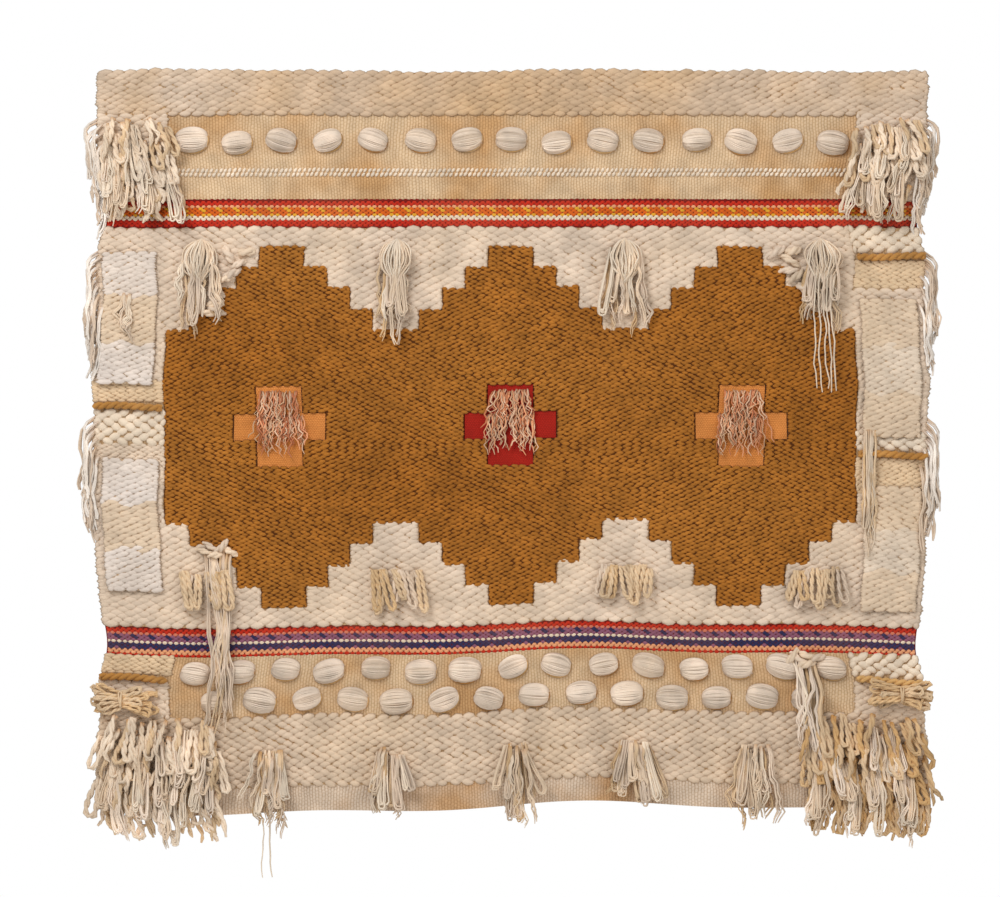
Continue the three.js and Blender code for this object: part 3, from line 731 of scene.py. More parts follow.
@dataclass(frozen=True)
class YarnFinish:
    """Soft yarn dyed by its own attribute, with painted shade in its gaps, and with stains and fibres."""

    name: str
    # The gap colour is painted shade for the low parts of the yarn.
    gap: Colour
    stain: Colour
    stain_share: float = 0.35
    stain_scale: float = 7.0
    tone_scale: float = 26.0
    tone: float = 0.2
    roughness: Span = (0.86, 0.98)
    sheen: float = 0.15
    fibre: float = 0.35
    fibre_scale: float = 900.0
    fibre_depth: float = 0.0012
    stretch: Place = (0.35, 1.0, 1.0)
    shade_reach: float = 0.6

    def make(self) -> bpy.types.Material:
        """Build the material, which also reads the attribute crown: where it is low, shade is painted in the
        gap colour.
        """
        bench = FinishBench(self.name)
        crown = bench.add("ShaderNodeAttribute", attribute_name="crown").outputs["Fac"]
        patches = bench.spread(bench.noise(bench.place, self.stain_scale), 0.42, 0.72, 0.0, self.stain_share)
        toned = bench.toned(patches, self.stain, self.tone_scale, (1 - self.tone, 1 + self.tone))
        # Painted shade: the gap colour is mixed in where the attribute crown is low.
        coloured = bench.mix(bench.spread(crown, 0.0, self.shade_reach, 0.0, 1.0), self.gap, toned)
        mapping = bench.add("ShaderNodeMapping", {"Vector": bench.place, "Scale": self.stretch})
        fibres = bench.noise(mapping.outputs["Vector"], self.fibre_scale, 2.0)
        relief = {"Strength": self.fibre, "Distance": self.fibre_depth, "Height": fibres}
        return bench.close(coloured, relief, fibres, self.roughness, self.sheen)


@dataclass(frozen=True)
class WeaveFinish:
    """Fine plain weave on a ground cloth, read from the flat map and the dye attribute, with painted shade in
    the weave's low parts.
    """

    name: str
    stain: Colour
    warp_pitch: float = 4.7
    weft_pitch: float = 3.3
    ribbed: float = 0.0
    bead: float = 0.3
    drift: float = 0.8
    stain_share: float = 0.4
    stain_scale: float = 6.0
    tone_scale: float = 38.0
    tones: Span = (0.86, 1.12)
    fibre_scale: float = 1400.0
    fibre: float = 0.25
    depth: float = 0.0009
    # Painted shade: the colour multiplied into the low parts of the weave.
    shade: tuple[float, float, float, float] = (0.72, 0.6, 0.46, 1.0)
    strength: float = 0.8
    roughness: Span = (0.86, 0.97)
    sheen: float = 0.2

    def weave(self, bench: FinishBench) -> Socket:
        """Add the height of the weave, from plain over-and-under to packed ribs."""
        flat = bench.add("ShaderNodeUVMap", uv_map="Loom").outputs["UV"]
        split = bench.add("ShaderNodeSeparateXYZ", {0: flat})
        slow = bench.math("MULTIPLY", bench.noise(bench.place, 11.0, 2.0), 3.0 * self.drift)
        quick = bench.math("MULTIPLY", bench.noise(bench.place, 60.0, 2.0), self.drift)
        wobble = bench.math("ADD", quick, slow)
        across, down = (
            bench.math("ADD", bench.math("DIVIDE", split.outputs[k], pitch * MM), wobble)
            for k, pitch in enumerate((self.warp_pitch, self.weft_pitch))
        )
        over = bench.wave(bench.math("ADD", across, bench.half_odd(down)))
        under = bench.wave(down)
        plain = bench.math("MULTIPLY", bench.math("POWER", over, 0.6), bench.math("POWER", under, 0.6))
        packed = bench.wave(bench.math("ADD", down, bench.half_odd(across)))
        beads = bench.spread(packed, 0.0, 0.8, 1.0 - self.bead, 1.0)
        ribs = bench.math("MULTIPLY", bench.math("POWER", bench.wave(across), 0.7), beads)
        return bench.add("ShaderNodeMix", {0: self.ribbed, 2: plain, 3: ribs}, data_type="FLOAT").outputs[0]

    def make(self) -> bpy.types.Material:
        """Build the material, which also reads the map Loom."""
        bench = FinishBench(self.name)
        height = self.weave(bench)
        patches = bench.spread(bench.noise(bench.place, self.stain_scale), 0.42, 0.66, 0.0, self.stain_share)
        light = bench.add("ShaderNodeRGBToBW", {0: bench.dye}).outputs[0]
        pale = bench.spread(light, 0.28, 0.5, 0.0, 1.0)
        toned = bench.toned(bench.math("MULTIPLY", patches, pale), self.stain, self.tone_scale, self.tones)
        # Painted shade: the weave's low parts are darkened by the shade colour.
        dark = bench.mix(1.0, toned, self.shade, "MULTIPLY")
        shaded = bench.mix(bench.spread(height, 0.0, 0.75, 0.0, 1.0), dark, toned)
        fibres = bench.noise(bench.place, self.fibre_scale, 2.0)
        raised = bench.math("ADD", height, bench.math("MULTIPLY", fibres, self.fibre))
        relief = {"Strength": self.strength, "Distance": self.depth, "Height": raised}
        return bench.close(shaded, relief, fibres, self.roughness, self.sheen)


ALONG_YARN = (1.0, 1.0, 0.2)
FINISHES = (
    YarnFinish("cream_stitch", CREAM_GAP_SHADE, OCHRE_CREAM, tone=0.15),
    YarnFinish("heading_stitch", CREAM_GAP_SHADE, OCHRE, stain_share=0.4, tone=0.13),
    YarnFinish("tab_stitch", TAB_GAP_SHADE, OCHRE_CREAM, stain_share=0.3, tone=0.1, shade_reach=0.45),
    YarnFinish("brown_stitch", BROWN_GAP_SHADE_AND_STAIN, rgb(150, 96, 36), tone=0.14, stain_share=0.3, sheen=0.04),
    YarnFinish("band_stitch", BAND_GAP_SHADE, PEACH, stain_share=0.1, tone=0.1),
    YarnFinish("twisted_cotton", YARN_GAP_SHADE, OCHRE_CREAM, stain_share=0.3, stretch=ALONG_YARN),
    YarnFinish("soft_roving", ROVING_GAP_SHADE, OCHRE, stain_share=0.22, stain_scale=16.0, fibre=0.6,
               fibre_scale=420.0, stretch=(1.0, 1.0, 0.22)),
    YarnFinish("frayed_yarn", FRAYED_GAP_SHADE, PEACH, stain_share=0.2, stretch=ALONG_YARN),
    WeaveFinish("ground_weave", rgb(196, 148, 92), warp_pitch=4.3, weft_pitch=5.2, ribbed=0.9, bead=0.6,
                stain_share=0.75, stain_scale=9.0, depth=0.0012),
    WeaveFinish("brown_ground_weave", BROWN_GAP_SHADE_AND_STAIN, stain_share=0.2),
    WeaveFinish("window_weave", rgb(196, 120, 66), warp_pitch=3.6, weft_pitch=2.6, stain_share=0.3,
                depth=0.0005),
)


class MakingTree:
    """Geometry nodes with named inputs that end in plain, smooth, finished geometry."""

    def __init__(self, name: str, inputs: dict[str, str]) -> None:
        """Start a tree.

        Args:
            name: The tree's name.
            inputs: Kind of each named input.
        """
        self.tree = bpy.data.node_groups.new(name, "GeometryNodeTree")
        self.bench = NodeBench(self.tree)
        self.keys = {key: self.socket(key, "INPUT", kind) for key, kind in inputs.items()}
        self.socket("Made", "OUTPUT", "Geometry")
        self.given = self.bench.add("NodeGroupInput").outputs

    def socket(self, name: str, way: str, kind: str) -> str:
        """Add a named input or output and return its identifier."""
        kind = f"NodeSocket{kind}"
        return self.tree.interface.new_socket(name=name, in_out=way, socket_type=kind).identifier

    def named(self, name: str, kind: str) -> Socket:
        """Read an attribute of the points."""
        node = self.bench.add("GeometryNodeInputNamedAttribute", {"Name": name}, data_type=kind)
        return node.outputs["Attribute"]

    def close(self, geometry: Socket) -> "MakingTree":
        """Realize what is made, shade it smooth and set its finish, and return the tree."""
        real = self.bench.add("GeometryNodeRealizeInstances", {0: geometry})
        smooth = self.bench.add("GeometryNodeSetShadeSmooth", {0: real.outputs[0]})
        inputs = {0: smooth.outputs[0], "Material": self.given["Finish"]}
        finish = self.bench.add("GeometryNodeSetMaterial", inputs)
        self.bench.add("NodeGroupOutput", {0: finish.outputs[0]})
        return self

    def run(self, source: Piece, values: dict[str, object]) -> bpy.types.Mesh:
        """Run the tree on an object and return the plain mesh that it makes.

        Args:
            source: The object that holds points or lines, which is removed.
            values: Values of the named inputs.

        Returns:
            The plain mesh, faces outwards.
        """
        modifier = source.modifiers.new("make", "NODES")
        modifier.node_group = self.tree
        for name, value in values.items():
            modifier[self.keys[name]] = value
        source.update_tag()
        graph = bpy.context.evaluated_depsgraph_get()
        mesh = bpy.data.meshes.new_from_object(source.evaluated_get(graph))
        bpy.data.objects.remove(source)
        mesh.update()
        return facing_out(mesh)


def stitch_tree() -> MakingTree:
    """Build the nodes that set one stitch on every point, turned and sized by the point."""
    kinds = {"Points": "Geometry", "Stitch": "Object", "Unevenness": "Float", "Seed": "Int",
             "Finish": "Material"}
    tree = MakingTree("stitches", kinds)
    bench, given = tree.bench, tree.given
    stitch = bench.add("GeometryNodeObjectInfo", {"Object": given["Stitch"]}, transform_space="ORIGINAL")
    euler = bench.add("FunctionNodeEulerToRotation", {0: tree.named("turn", "FLOAT_VECTOR")})
    uneven = bench.add("FunctionNodeRandomValue", {
        2: bench.math("SUBTRACT", 1.0, given["Unevenness"]),
        3: bench.math("ADD", 1.0, given["Unevenness"]),
        "Seed": given["Seed"],
    }, data_type="FLOAT")
    scaled = bench.add("ShaderNodeVectorMath", {
        0: tree.named("size", "FLOAT_VECTOR"),
        "Scale": uneven.outputs[1],
    }, operation="SCALE")
    spread = bench.add("GeometryNodeInstanceOnPoints", {
        "Points": given["Points"],
        "Instance": stitch.outputs["Geometry"],
        "Rotation": euler.outputs[0],
        "Scale": scaled.outputs[0],
    })
    return tree.close(spread.outputs[0])


def yarn_tree() -> MakingTree:
    """Build the nodes that sweep a round yarn along every polyline, thick as its points say."""
    tree = MakingTree("yarns", {"Lines": "Geometry", "Sides": "Int", "Finish": "Material"})
    bench, given = tree.bench, tree.given
    curve = bench.add("GeometryNodeMeshToCurve", {0: given["Lines"]})
    round_yarn = {"Resolution": given["Sides"], "Radius": 1.0}
    profile = bench.add("GeometryNodeCurvePrimitiveCircle", round_yarn, mode="RADIUS")
    sweep = bench.add("GeometryNodeCurveToMesh", {
        "Curve": curve.outputs[0],
        "Profile Curve": profile.outputs[0],
        "Scale": tree.named("thick", "FLOAT"),
        "Fill Caps": True,
    })
    return tree.close(sweep.outputs[0])


def lens(name: str, sides: int) -> Piece:
    """Make one unit stitch: a lens with pointed ends, its crown towards the front.

    Args:
        name: The object's name.
        sides: Corners round its rim.

    Returns:
        The stitch, which isn't shown itself.
    """
    rings = ((1.0, 0.25, 0.0), (0.72, -0.62, 0.75))
    angles = TURN * np.arange(sides) / sides
    rim_x, rim_z = np.cos(angles), np.sin(angles) * np.abs(np.sin(angles)) ** 0.4
    points = [(size * px, depth, size * pz) for size, depth, _ in rings for px, pz in zip(rim_x, rim_z)]
    mesh = new_mesh(name, [*points, (0.0, -1.0, 0.0)], faces=dome_faces(len(rings), sides))
    # The crown runs from nought at the rim to one at the peak; the finishes paint shade where it is low.
    give(mesh, "crown", np.append(np.repeat([share for _, _, share in rings], sides), 1.0))
    return bpy.data.objects.new(name, facing_out(mesh))


@dataclass(frozen=True)
class StitchStyle:
    """Size and lie of the stitches of one weave, in millimetres."""

    pitch: float
    row: float
    rise: float
    seat: float
    fill: float = 1.08
    slant: float = 0.0
    braid: bool = False
    jitter: float = 0.6
    lift: float = 0.35
    turns: Place = (0.1, 0.09, 0.08)
    row_wave: float = 1.2
    drift: float = 0.06
    tone: float = 0.08
    unevenness: float = 0.09
    overhang: float = 0.0


CHUNKY_CREAM = StitchStyle(pitch=19.5, row=5.1, rise=3.6, seat=5.3, fill=1.2, jitter=1.0, drift=0.1,
                           overhang=2.2)
HEADING_CREAM = StitchStyle(pitch=17.5, row=4.4, rise=3.2, seat=5.5, fill=1.2, jitter=1.2, drift=0.14,
                            overhang=2.0, unevenness=0.14)
SMALL_CREAM = StitchStyle(pitch=13.0, row=3.3, rise=2.4, seat=5.9, fill=1.16, jitter=0.8, drift=0.12,
                          overhang=1.4)
WHITE_BRAID = StitchStyle(pitch=21.0, row=7.0, rise=5.0, seat=5.4, slant=0.42, braid=True, overhang=2.4)
TAB_CREAM = StitchStyle(pitch=18.0, row=4.0, rise=2.3, seat=0.0, fill=1.2, jitter=1.0, drift=0.14,
                        overhang=1.4, unevenness=0.07)
CHUNKY_BROWN = StitchStyle(pitch=12.8, row=3.25, rise=3.6, seat=5.9, jitter=1.0, drift=0.12, tone=0.13,
                           unevenness=0.14)
SKIRT_CREAM = StitchStyle(pitch=18.0, row=5.3, rise=3.9, seat=5.3, fill=1.15, slant=0.2, braid=True,
                          jitter=1.0, overhang=2.0)
BAND_FINE = StitchStyle(pitch=8.4, row=3.0, rise=1.7, seat=3.8, jitter=0.2, row_wave=0.3, drift=0.02,
                        tone=0.05, unevenness=0.07)
TWINED_LINE = StitchStyle(pitch=6.8, row=6.0, rise=3.2, seat=4.4, slant=0.6, row_wave=0.9, fill=0.8)

PLY_POINTS = 6
PLY_OFFSET = 0.5
PLY_RADIUS = 0.64


@dataclass
class StitchPoints:
    """Places, sizes, turns and dyes of many stitches in the flat layout."""

    places: Array
    sizes: Array
    turns: Array
    dyes: Array

    def part(self, chosen: Array) -> "StitchPoints":
        """Pick some of the stitches."""
        return StitchPoints(*(rows[chosen] for rows in (self.places, self.sizes, self.turns, self.dyes)))


def spans(inside: Array, xs: Array) -> list[Span]:
    """Find the spans of a row that lie inside a zone.

    Args:
        inside: Whether each sample is inside.
        xs: Places of the samples.

    Returns:
        Start and end of each span.
    """
    step = xs[1] - xs[0]
    edges = np.flatnonzero(np.diff(np.concatenate([[0], inside.astype(int), [0]])))
    return [(xs[a] - step / 2, xs[b - 1] + step / 2) for a, b in zip(edges[::2], edges[1::2])]


def cut_row(start: float, end: float, pitch: float, shift: float) -> Array:
    """Cut a span of a row into stitches that keep the whole cloth's pitch.

    Args:
        start: Start of the span.
        end: End of the span.
        pitch: Width of a stitch.
        shift: Share of a stitch that the row is moved by.

    Returns:
        The cuts, with both ends.
    """
    first = math.ceil(start / pitch - shift)
    inner = (np.arange(first, first + int((end - start) / pitch) + 2) + shift) * pitch
    least = 0.3 * pitch
    inner = inner[(inner > start + least) & (inner < end - least)]
    return np.concatenate([[start], inner, [end]])


def everywhere(x: Array, z: float) -> Array:
    """Weave every place of a row."""
    return np.ones(len(x), bool)


def plain_dye(colour: Colour) -> DyeRule:
    """Dye every stitch alike."""
    return lambda x, z, row: np.tile(np.array(colour), (len(x), 1))


def heading_dye(x: Array, z: Array, row: int) -> Array:
    """Dye the heading's stitches, ochre towards the middle."""
    return blend(np.clip(1.15 - np.abs(x) / 430, 0, 1) * 0.75, HEADING_CREAM_DYE, HEADING_OCHRE_DYE)


def weave_rows(style: StitchStyle, extent: Extent, is_inside: Inside, dye_at: DyeRule,
               seed: int) -> StitchPoints:
    """Lay rows of stitches, each row half a stitch from the last, inside a zone.

    Args:
        style: Size and lie of the stitches.
        extent: Left, right, top and foot of the rows.
        is_inside: Tells which places of a row at a height are woven so.
        dye_at: Dye of the stitches at places and heights, in a row of a number.
        seed: Seed of the unevenness.

    Returns:
        The stitches.
    """
    rng = np.random.default_rng(seed)
    left, right, top, bottom = extent
    samples = np.arange(left + 0.25, right, 0.5)
    stitches = []
    rows = max(1, round((top - bottom) / style.row))
    row_height = (top - bottom) / rows
    for row in range(rows):
        z = top - (row + 0.5) * row_height
        shift = 0.5 * (row % 2) + style.drift * (math.sin(z / 37) + scatter(rng, 1))
        direction = -1 if style.braid and (row // 2) % 2 == 0 else 1
        for start, end in spans(is_inside(samples, z), samples):
            start -= style.overhang * (start < left + 1)
            end += style.overhang * (end > right - 1)
            cuts = cut_row(start, end, style.pitch, shift)
            x = (cuts[:-1] + cuts[1:]) / 2
            half = np.diff(cuts) / 2 * style.fill
            n = len(x)
            wave = slanted(x, z, 47, 83) * np.sin(z / 39 + 0.8) + 0.4 * slanted(x, z, 17, 11)
            zs = z + style.row_wave * wave + scatter(rng, style.jitter * 0.5, n)
            y = -style.seat - scatter(rng, style.lift, n)
            places = np.stack([x + scatter(rng, style.jitter, n), y, zs], axis=1)
            sizes = np.stack([half, np.full(n, style.rise), np.full(n, row_height * style.fill)], axis=1)
            slant = style.slant * direction + scatter(rng, style.turns[1], n) + 0.1 * slanted(x, z, 71, 53)
            tips, rolls = scatter(rng, style.turns[0], n), scatter(rng, style.turns[2], n)
            turns = np.stack([tips, slant, rolls], axis=1)
            tone = 1 + scatter(rng, style.tone, (n, 1))
            stitches.append((places, sizes, turns, np.clip(dye_at(x, zs, row) * tone, 0, 1)))
    return StitchPoints(*map(np.concatenate, zip(*stitches)))


@dataclass
class Yarn:
    """One yarn of the flat layout: its points and radii in millimetres, and its dye."""

    points: Array
    thick: Array
    dye: Colour
    shaded_root: bool = False

    @staticmethod
    def laid(x: Array, out: Array | float, z: Array, thick: Array | float, dye: Colour) -> "Yarn":
        """Lay a yarn through places across, depths in front of the back plane and heights."""
        points = np.stack(np.broadcast_arrays(x, -out, z), axis=1)
        return Yarn(points, np.broadcast_to(thick, len(points)), dye)

    def crowns(self) -> Array:
        """Share of light at each point, darker at a root under other yarns."""
        share = np.linspace(0, 1, len(self.points))
        return np.clip(0.3 + 3.2 * share, 0, 1) if self.shaded_root else np.ones(len(self.points))


def twisted(line: Yarn, pitch: float, rng: Draws) -> list[Yarn]:
    """Wind two plies round the route of a yarn.

    Args:
        line: The route, with the radius of the whole yarn.
        pitch: Length of one turn in millimetres.
        rng: The seeded source of numbers.

    Returns:
        The two plies.
    """
    steps = np.linalg.norm(np.diff(line.points, axis=0), axis=1)
    along = np.concatenate([[0], np.cumsum(steps)])
    count = max(4, int(along[-1] / pitch * PLY_POINTS))
    places = np.linspace(0, along[-1], count)
    route = np.stack([np.interp(places, along, line.points[:, k]) for k in range(3)], axis=1)
    thick = np.interp(places, along, line.thick)[:, None]
    way = np.gradient(route, axis=0)
    normal = np.stack([way[:, 2], np.zeros(count), -way[:, 0]], axis=1)
    normal /= np.maximum(np.linalg.norm(normal, axis=1, keepdims=True), 1e-6)
    angle = (TURN * places / pitch + rng.uniform(0, TURN))[:, None]
    plies = []
    for start in (0, math.pi):
        offset = np.cos(angle + start) * normal + np.sin(angle + start) * np.array([[0.0, -1.0, 0.0]])
        bent = route + PLY_OFFSET * thick * offset
        plies.append(Yarn(bent, PLY_RADIUS * thick[:, 0], line.dye, line.shaded_root))
    return plies


def wander(rng: Draws, share: Array, size: float, turns: float = 1.5) -> Array:
    """Make a smooth sideways drift that grows along a yarn.

    Args:
        rng: The seeded source of numbers.
        share: Share of the yarn's length at each point.
        size: Largest drift in millimetres.
        turns: Bends along the yarn.

    Returns:
        The drift at each point.
    """
    drift = np.zeros(len(share))
    for k, weight in enumerate((1.0, 0.45, 0.2)):
        rate = turns * (1 + k) * rng.uniform(0.7, 1.3)
        drift += weight * np.sin(TURN * rate * share + rng.uniform(0, TURN))
    return size * (drift - drift[0]) * np.clip(share * 1.5, 0, 1)


def hairpin(share: Array) -> Array:
    """Reach, 0 to 1, along a yarn that leaves its root, turns round and comes back."""
    return np.maximum(0, 1 - np.abs(np.cos(math.pi * share)) ** 4) ** 0.25


def dip(colours: Sequence[Colour], rng: Draws, tone: float = 0.1) -> Colour:
    """Pick one of some colours and vary its tone."""
    base = np.array(colours[rng.integers(len(colours))])
    return tuple(float(v) for v in np.clip(base * (1 + scatter(rng, tone)), 0, 1))


def in_row(k: int, count: int) -> float:
    """Place of one of a row of things, from -1 at its start to 1 at its end."""
    return 2 * (k + 0.5) / count - 1


@dataclass(frozen=True)
class HangingYarn:
    """How a yarn hangs from its root, in millimetres."""

    length: float
    radius: float
    lean: float = 0.0
    forward: float = 4.0
    settle: float = 0.0
    start: float = 1.6
    curl: float = 2.5
    turns: float = 1.5
    count: int = 11
    taper: float = 0.25
    lumps: float = 0.06
    crimp: float = 0.0
    crimp_length: float = 19.0
    fold_length: float = 0.85
    fold_radius: float = 1.0
    fold_count: int = 16
    fold_gap: Span = (2.0, 6.0)
    fold_swing: float = 2.0

    def line(self, root: Place, dye: Colour, rng: Draws) -> Yarn:
        """Hang the yarn loose.

        Args:
            root: Place of the root: across, depth and height.
            dye: Its dye.
            rng: The seeded source of numbers.

        Returns:
            The yarn, shaded at its root.
        """
        share = np.linspace(0, 1, self.count)
        x0, depth, z0 = root
        x = x0 + self.lean * share**0.7 + wander(rng, share, self.curl, self.turns)
        rise = np.sin(np.clip(share * self.start, 0, 1) * math.pi / 2)
        out = depth + self.forward * rise - self.settle * share**2
        out = out + wander(rng, share, self.curl * 0.35, self.turns)
        waves = TURN * self.length * share / self.crimp_length + rng.uniform(0, TURN)
        x = x + self.crimp * np.sin(waves) * share
        z = z0 - self.length * share * (1 - 0.04 * rng.uniform(0, 1))
        tip = 1 - self.taper * share**3 - 0.3 * share**16
        thick = self.radius * tip * (1 + scatter(rng, self.lumps, self.count))
        yarn = Yarn.laid(x, out, z, thick, dye)
        yarn.shaded_root = True
        return yarn

    def folded(self, root: Place, dye: Colour, rng: Draws) -> Yarn:
        """Hang the yarn so that it turns at its foot and comes back to its root.

        Args:
            root: Place of the root: across, depth and height.
            dye: Its dye.
            rng: The seeded source of numbers.

        Returns:
            The yarn.
        """
        t = np.linspace(0, 1, self.fold_count)
        down = hairpin(t)
        radius = self.radius * self.fold_radius
        half = radius + rng.uniform(*self.fold_gap)
        x = root[0] + self.lean * down - half * np.cos(math.pi * t) * (0.3 + 0.7 * down) + wander(rng, t, 1.0)
        swing = scatter(rng, self.fold_swing)
        out = root[1] + self.forward * down + swing * np.cos(math.pi * t)
        thick = radius * (1 + scatter(rng, 0.08, self.fold_count))
        return Yarn.laid(x, out, root[2] - self.length * self.fold_length * down, thick, dye)

    def hang(self, root: Place, dye: Colour, rng: Draws, is_folded: bool) -> Yarn:
        """Hang the yarn folded or loose."""
        return self.folded(root, dye, rng) if is_folded else self.line(root, dye, rng)


def clump(route: Yarn, count: int, spread: float, rng: Draws) -> list[Yarn]:
    """Lay a clump of thin yarns that keep together along one route.

    Args:
        route: The route, with the radius of one yarn.
        count: Number of yarns.
        spread: Radius of the clump.
        rng: The seeded source of numbers.

    Returns:
        The yarns.
    """
    share = np.linspace(0, 1, len(route.points))
    loose = np.clip(0.55 + 0.6 * share, 0, 1)
    yarns = []
    for _ in range(count):
        angle = rng.uniform(0, TURN)
        reach = spread * math.sqrt(rng.uniform(0, 1))
        points = route.points.copy()
        points[:, 0] += reach * math.cos(angle) * loose + wander(rng, share, 0.9, 1.8)
        points[:, 1] -= reach * math.sin(angle) * loose
        points[:, 2] += scatter(rng, 0.06) * (points[:, 2] - points[0, 2])
        thick = route.thick * rng.uniform(0.85, 1.15)
        yarns.append(Yarn(points, thick, dip((route.dye,), rng, 0.05), route.shaded_root))
    return yarns


@dataclass
class Workshop:
    """Trees, unit stitches and finishes that the pieces share."""

    stitches: MakingTree
    yarns: MakingTree
    fine_lens: Piece
    full_lens: Piece
    finishes: dict[str, bpy.types.Material]

    @staticmethod
    def open() -> "Workshop":
        """Make the shared trees, stitches and finishes."""
        made = {finish.name: finish.make() for finish in FINISHES}
        return Workshop(stitch_tree(), yarn_tree(), lens("fine_lens", 6), lens("full_lens", 8), made)

    def made(self, name: str, tree: MakingTree, source: bpy.types.Mesh, attributes: dict[str, Array],
             values: dict[str, object]) -> Piece:
        """Run a tree on points or lines and return the piece that it makes.

        Args:
            name: The piece's name.
            tree: The tree.
            source: Mesh of the points or lines.
            attributes: What each point holds.
            values: Values of the tree's inputs.

        Returns:
            The piece.
        """
        for key, rows in attributes.items():
            give(source, key, rows)
        result = tree.run(link(source, source.name), values)
        result.name = name
        return link(result, name)

    def stitched(self, name: str, points: StitchPoints, style: StitchStyle, unit: Piece, finish: str,
                 seed: int) -> Piece:
        """Make one piece of stitches.

        Args:
            name: The piece's name.
            points: The stitches in the flat layout.
            style: Their style, which says how uneven they are.
            unit: The unit stitch.
            finish: Name of the finish.
            seed: Seed of the sizes.

        Returns:
            The piece.
        """
        source = new_mesh(f"{name}_points", LOOM.hang(points.places))
        attributes = {"size": points.sizes * MM, "turn": points.turns, "dye": opaque(points.dyes)}
        values = {
            "Stitch": unit,
            "Unevenness": style.unevenness,
            "Seed": seed,
            "Finish": self.finishes[finish],
        }
        return self.made(name, self.stitches, source, attributes, values)

    def spun(self, name: str, lines: Sequence[Yarn], finish: str, sides: int = 4,
             shade: Span | None = None) -> Piece:
        """Make one piece of yarns.

        Args:
            name: The piece's name.
            lines: The yarns in the flat layout.
            finish: Name of the finish.
            sides: Flat sides round a yarn.
            shade: Depths at which the painted shade on yarns behind others is darkest and at which they show
                their own dye.

        Returns:
            The piece.
        """
        counts = [len(line.points) for line in lines]
        points = np.concatenate([line.points for line in lines])
        crowns = np.concatenate([line.crowns() for line in lines])
        # Painted shade: yarns that lie nearer the cloth, behind others, get a lower crown, so their finish
        # mixes in its gap colour.
        if shade is not None:
            crowns *= np.clip((-points[:, 1] - shade[0]) / (shade[1] - shade[0]), 0, 1)
        attributes = {
            "thick": np.concatenate([line.thick for line in lines]) * MM,
            "dye": opaque(np.repeat([line.dye for line in lines], counts, axis=0)),
            "crown": crowns,
        }
        ends = set((np.cumsum(counts) - 1).tolist())
        edges = [(k, k + 1) for k in range(len(points)) if k not in ends]
        source = new_mesh(f"{name}_lines", LOOM.hang(points), edges)
        values = {"Sides": sides, "Finish": self.finishes[finish]}
        return self.made(name, self.yarns, source, attributes, values)


class SubAssembly(Protocol):
    """Anything that is made in the workshop and tied to the frame."""

    def build(self, shop: Workshop) -> None:
        """Make the pieces and tie them to the frame."""


@dataclass(frozen=True)
class Strip:
    """A strip of a side border in a weave of its own, in millimetres."""

    side: Side
    top: float
    bottom: float
    style: StitchStyle
    dye: Colour

    def holds(self, x: Array, z: float) -> Array:
        """Tell which places of a row lie in the strip."""
        return (x * self.side.value > LOOM.field_half) & (self.bottom < z <= self.top)


@dataclass(frozen=True)
class RovingLine:
    """A thick twisted roving laid across a side border, in millimetres."""

    side: Side
    z: float
    dye: Colour = DEEP_OCHRE
    radius: float = 5.4
    seat: float = 6.5
    room: float = 6.0
    twist: float = 24.0

    def holds(self, x: Array, z: float) -> Array:
        """Tell which places of a row lie under the line."""
        return (x * self.side.value > LOOM.field_half) & (abs(z - self.z) < self.room)

    def plies(self, rng: Draws) -> list[Yarn]:
        """Lay the two plies of the line."""
        x = np.linspace(LOOM.field_half + 4, LOOM.half_width + 1, 9) * self.side.value
        z = self.z + 1.5 * np.sin(x / 19 + self.z)
        return twisted(Yarn.laid(x, self.seat + self.radius, z, self.radius, self.dye), self.twist, rng)


@dataclass(frozen=True)
class ZoneRows:
    """Rows of raised stitches in some zones of the ground cloth."""

    name: str
    style: StitchStyle
    span: Span
    zones: tuple[Zone, ...]
    dye: DyeRule
    seed: int
    finish: str = "cream_stitch"


STRIPS = (
    Strip(Side.LEFT, -446, -478, SMALL_CREAM, OCHRE_CREAM),
    Strip(Side.LEFT, -490, -538, WHITE_BRAID, IVORY),
    Strip(Side.LEFT, -538, -570, SMALL_CREAM, CREAM),
    Strip(Side.LEFT, -842, -868, SMALL_CREAM, OCHRE_CREAM),
    Strip(Side.RIGHT, -227, -262, WHITE_BRAID, IVORY),
    Strip(Side.RIGHT, -274, -312, SMALL_CREAM, OCHRE_CREAM),
    Strip(Side.RIGHT, -522, -548, WHITE_BRAID, IVORY),
    Strip(Side.RIGHT, -560, -610, SMALL_CREAM, OCHRE_CREAM),
    Strip(Side.RIGHT, -842, -874, WHITE_BRAID, IVORY),
)
ROVING_LINES = (
    RovingLine(Side.LEFT, -484),
    RovingLine(Side.LEFT, -874),
    RovingLine(Side.RIGHT, -268),
    RovingLine(Side.RIGHT, -554),
    RovingLine(Side.RIGHT, -880, dye=OCHRE),
)
CREAM_DYE = plain_dye(CREAM)
ZONE_ROWS = (
    ZoneRows("heading", HEADING_CREAM, (0.0, LOOM.heading_foot), (Zone.HEADING, Zone.BORDER), heading_dye, 11,
             "heading_stitch"),
    ZoneRows("shoulder", CHUNKY_CREAM, (LOOM.heading_foot, LOOM.band_upper[0]), (Zone.BORDER,),
             CREAM_DYE, 12),
    ZoneRows("ground", CHUNKY_CREAM, (LOOM.band_upper[1], LOOM.band_lower[0]), (Zone.GROUND, Zone.BORDER),
             CREAM_DYE, 13),
    ZoneRows("hip", CHUNKY_CREAM, (LOOM.band_lower[1], LOOM.skirt_top), (Zone.BORDER,), CREAM_DYE, 14),
    ZoneRows("skirt", SKIRT_CREAM, (LOOM.skirt_top, LOOM.hem_top), (Zone.SKIRT, Zone.BORDER),
             plain_dye(SKIRT_DYE), 15),
    ZoneRows("twined", TWINED_LINE, LOOM.twined, (Zone.TWINED,), plain_dye(IVORY), 16),
)


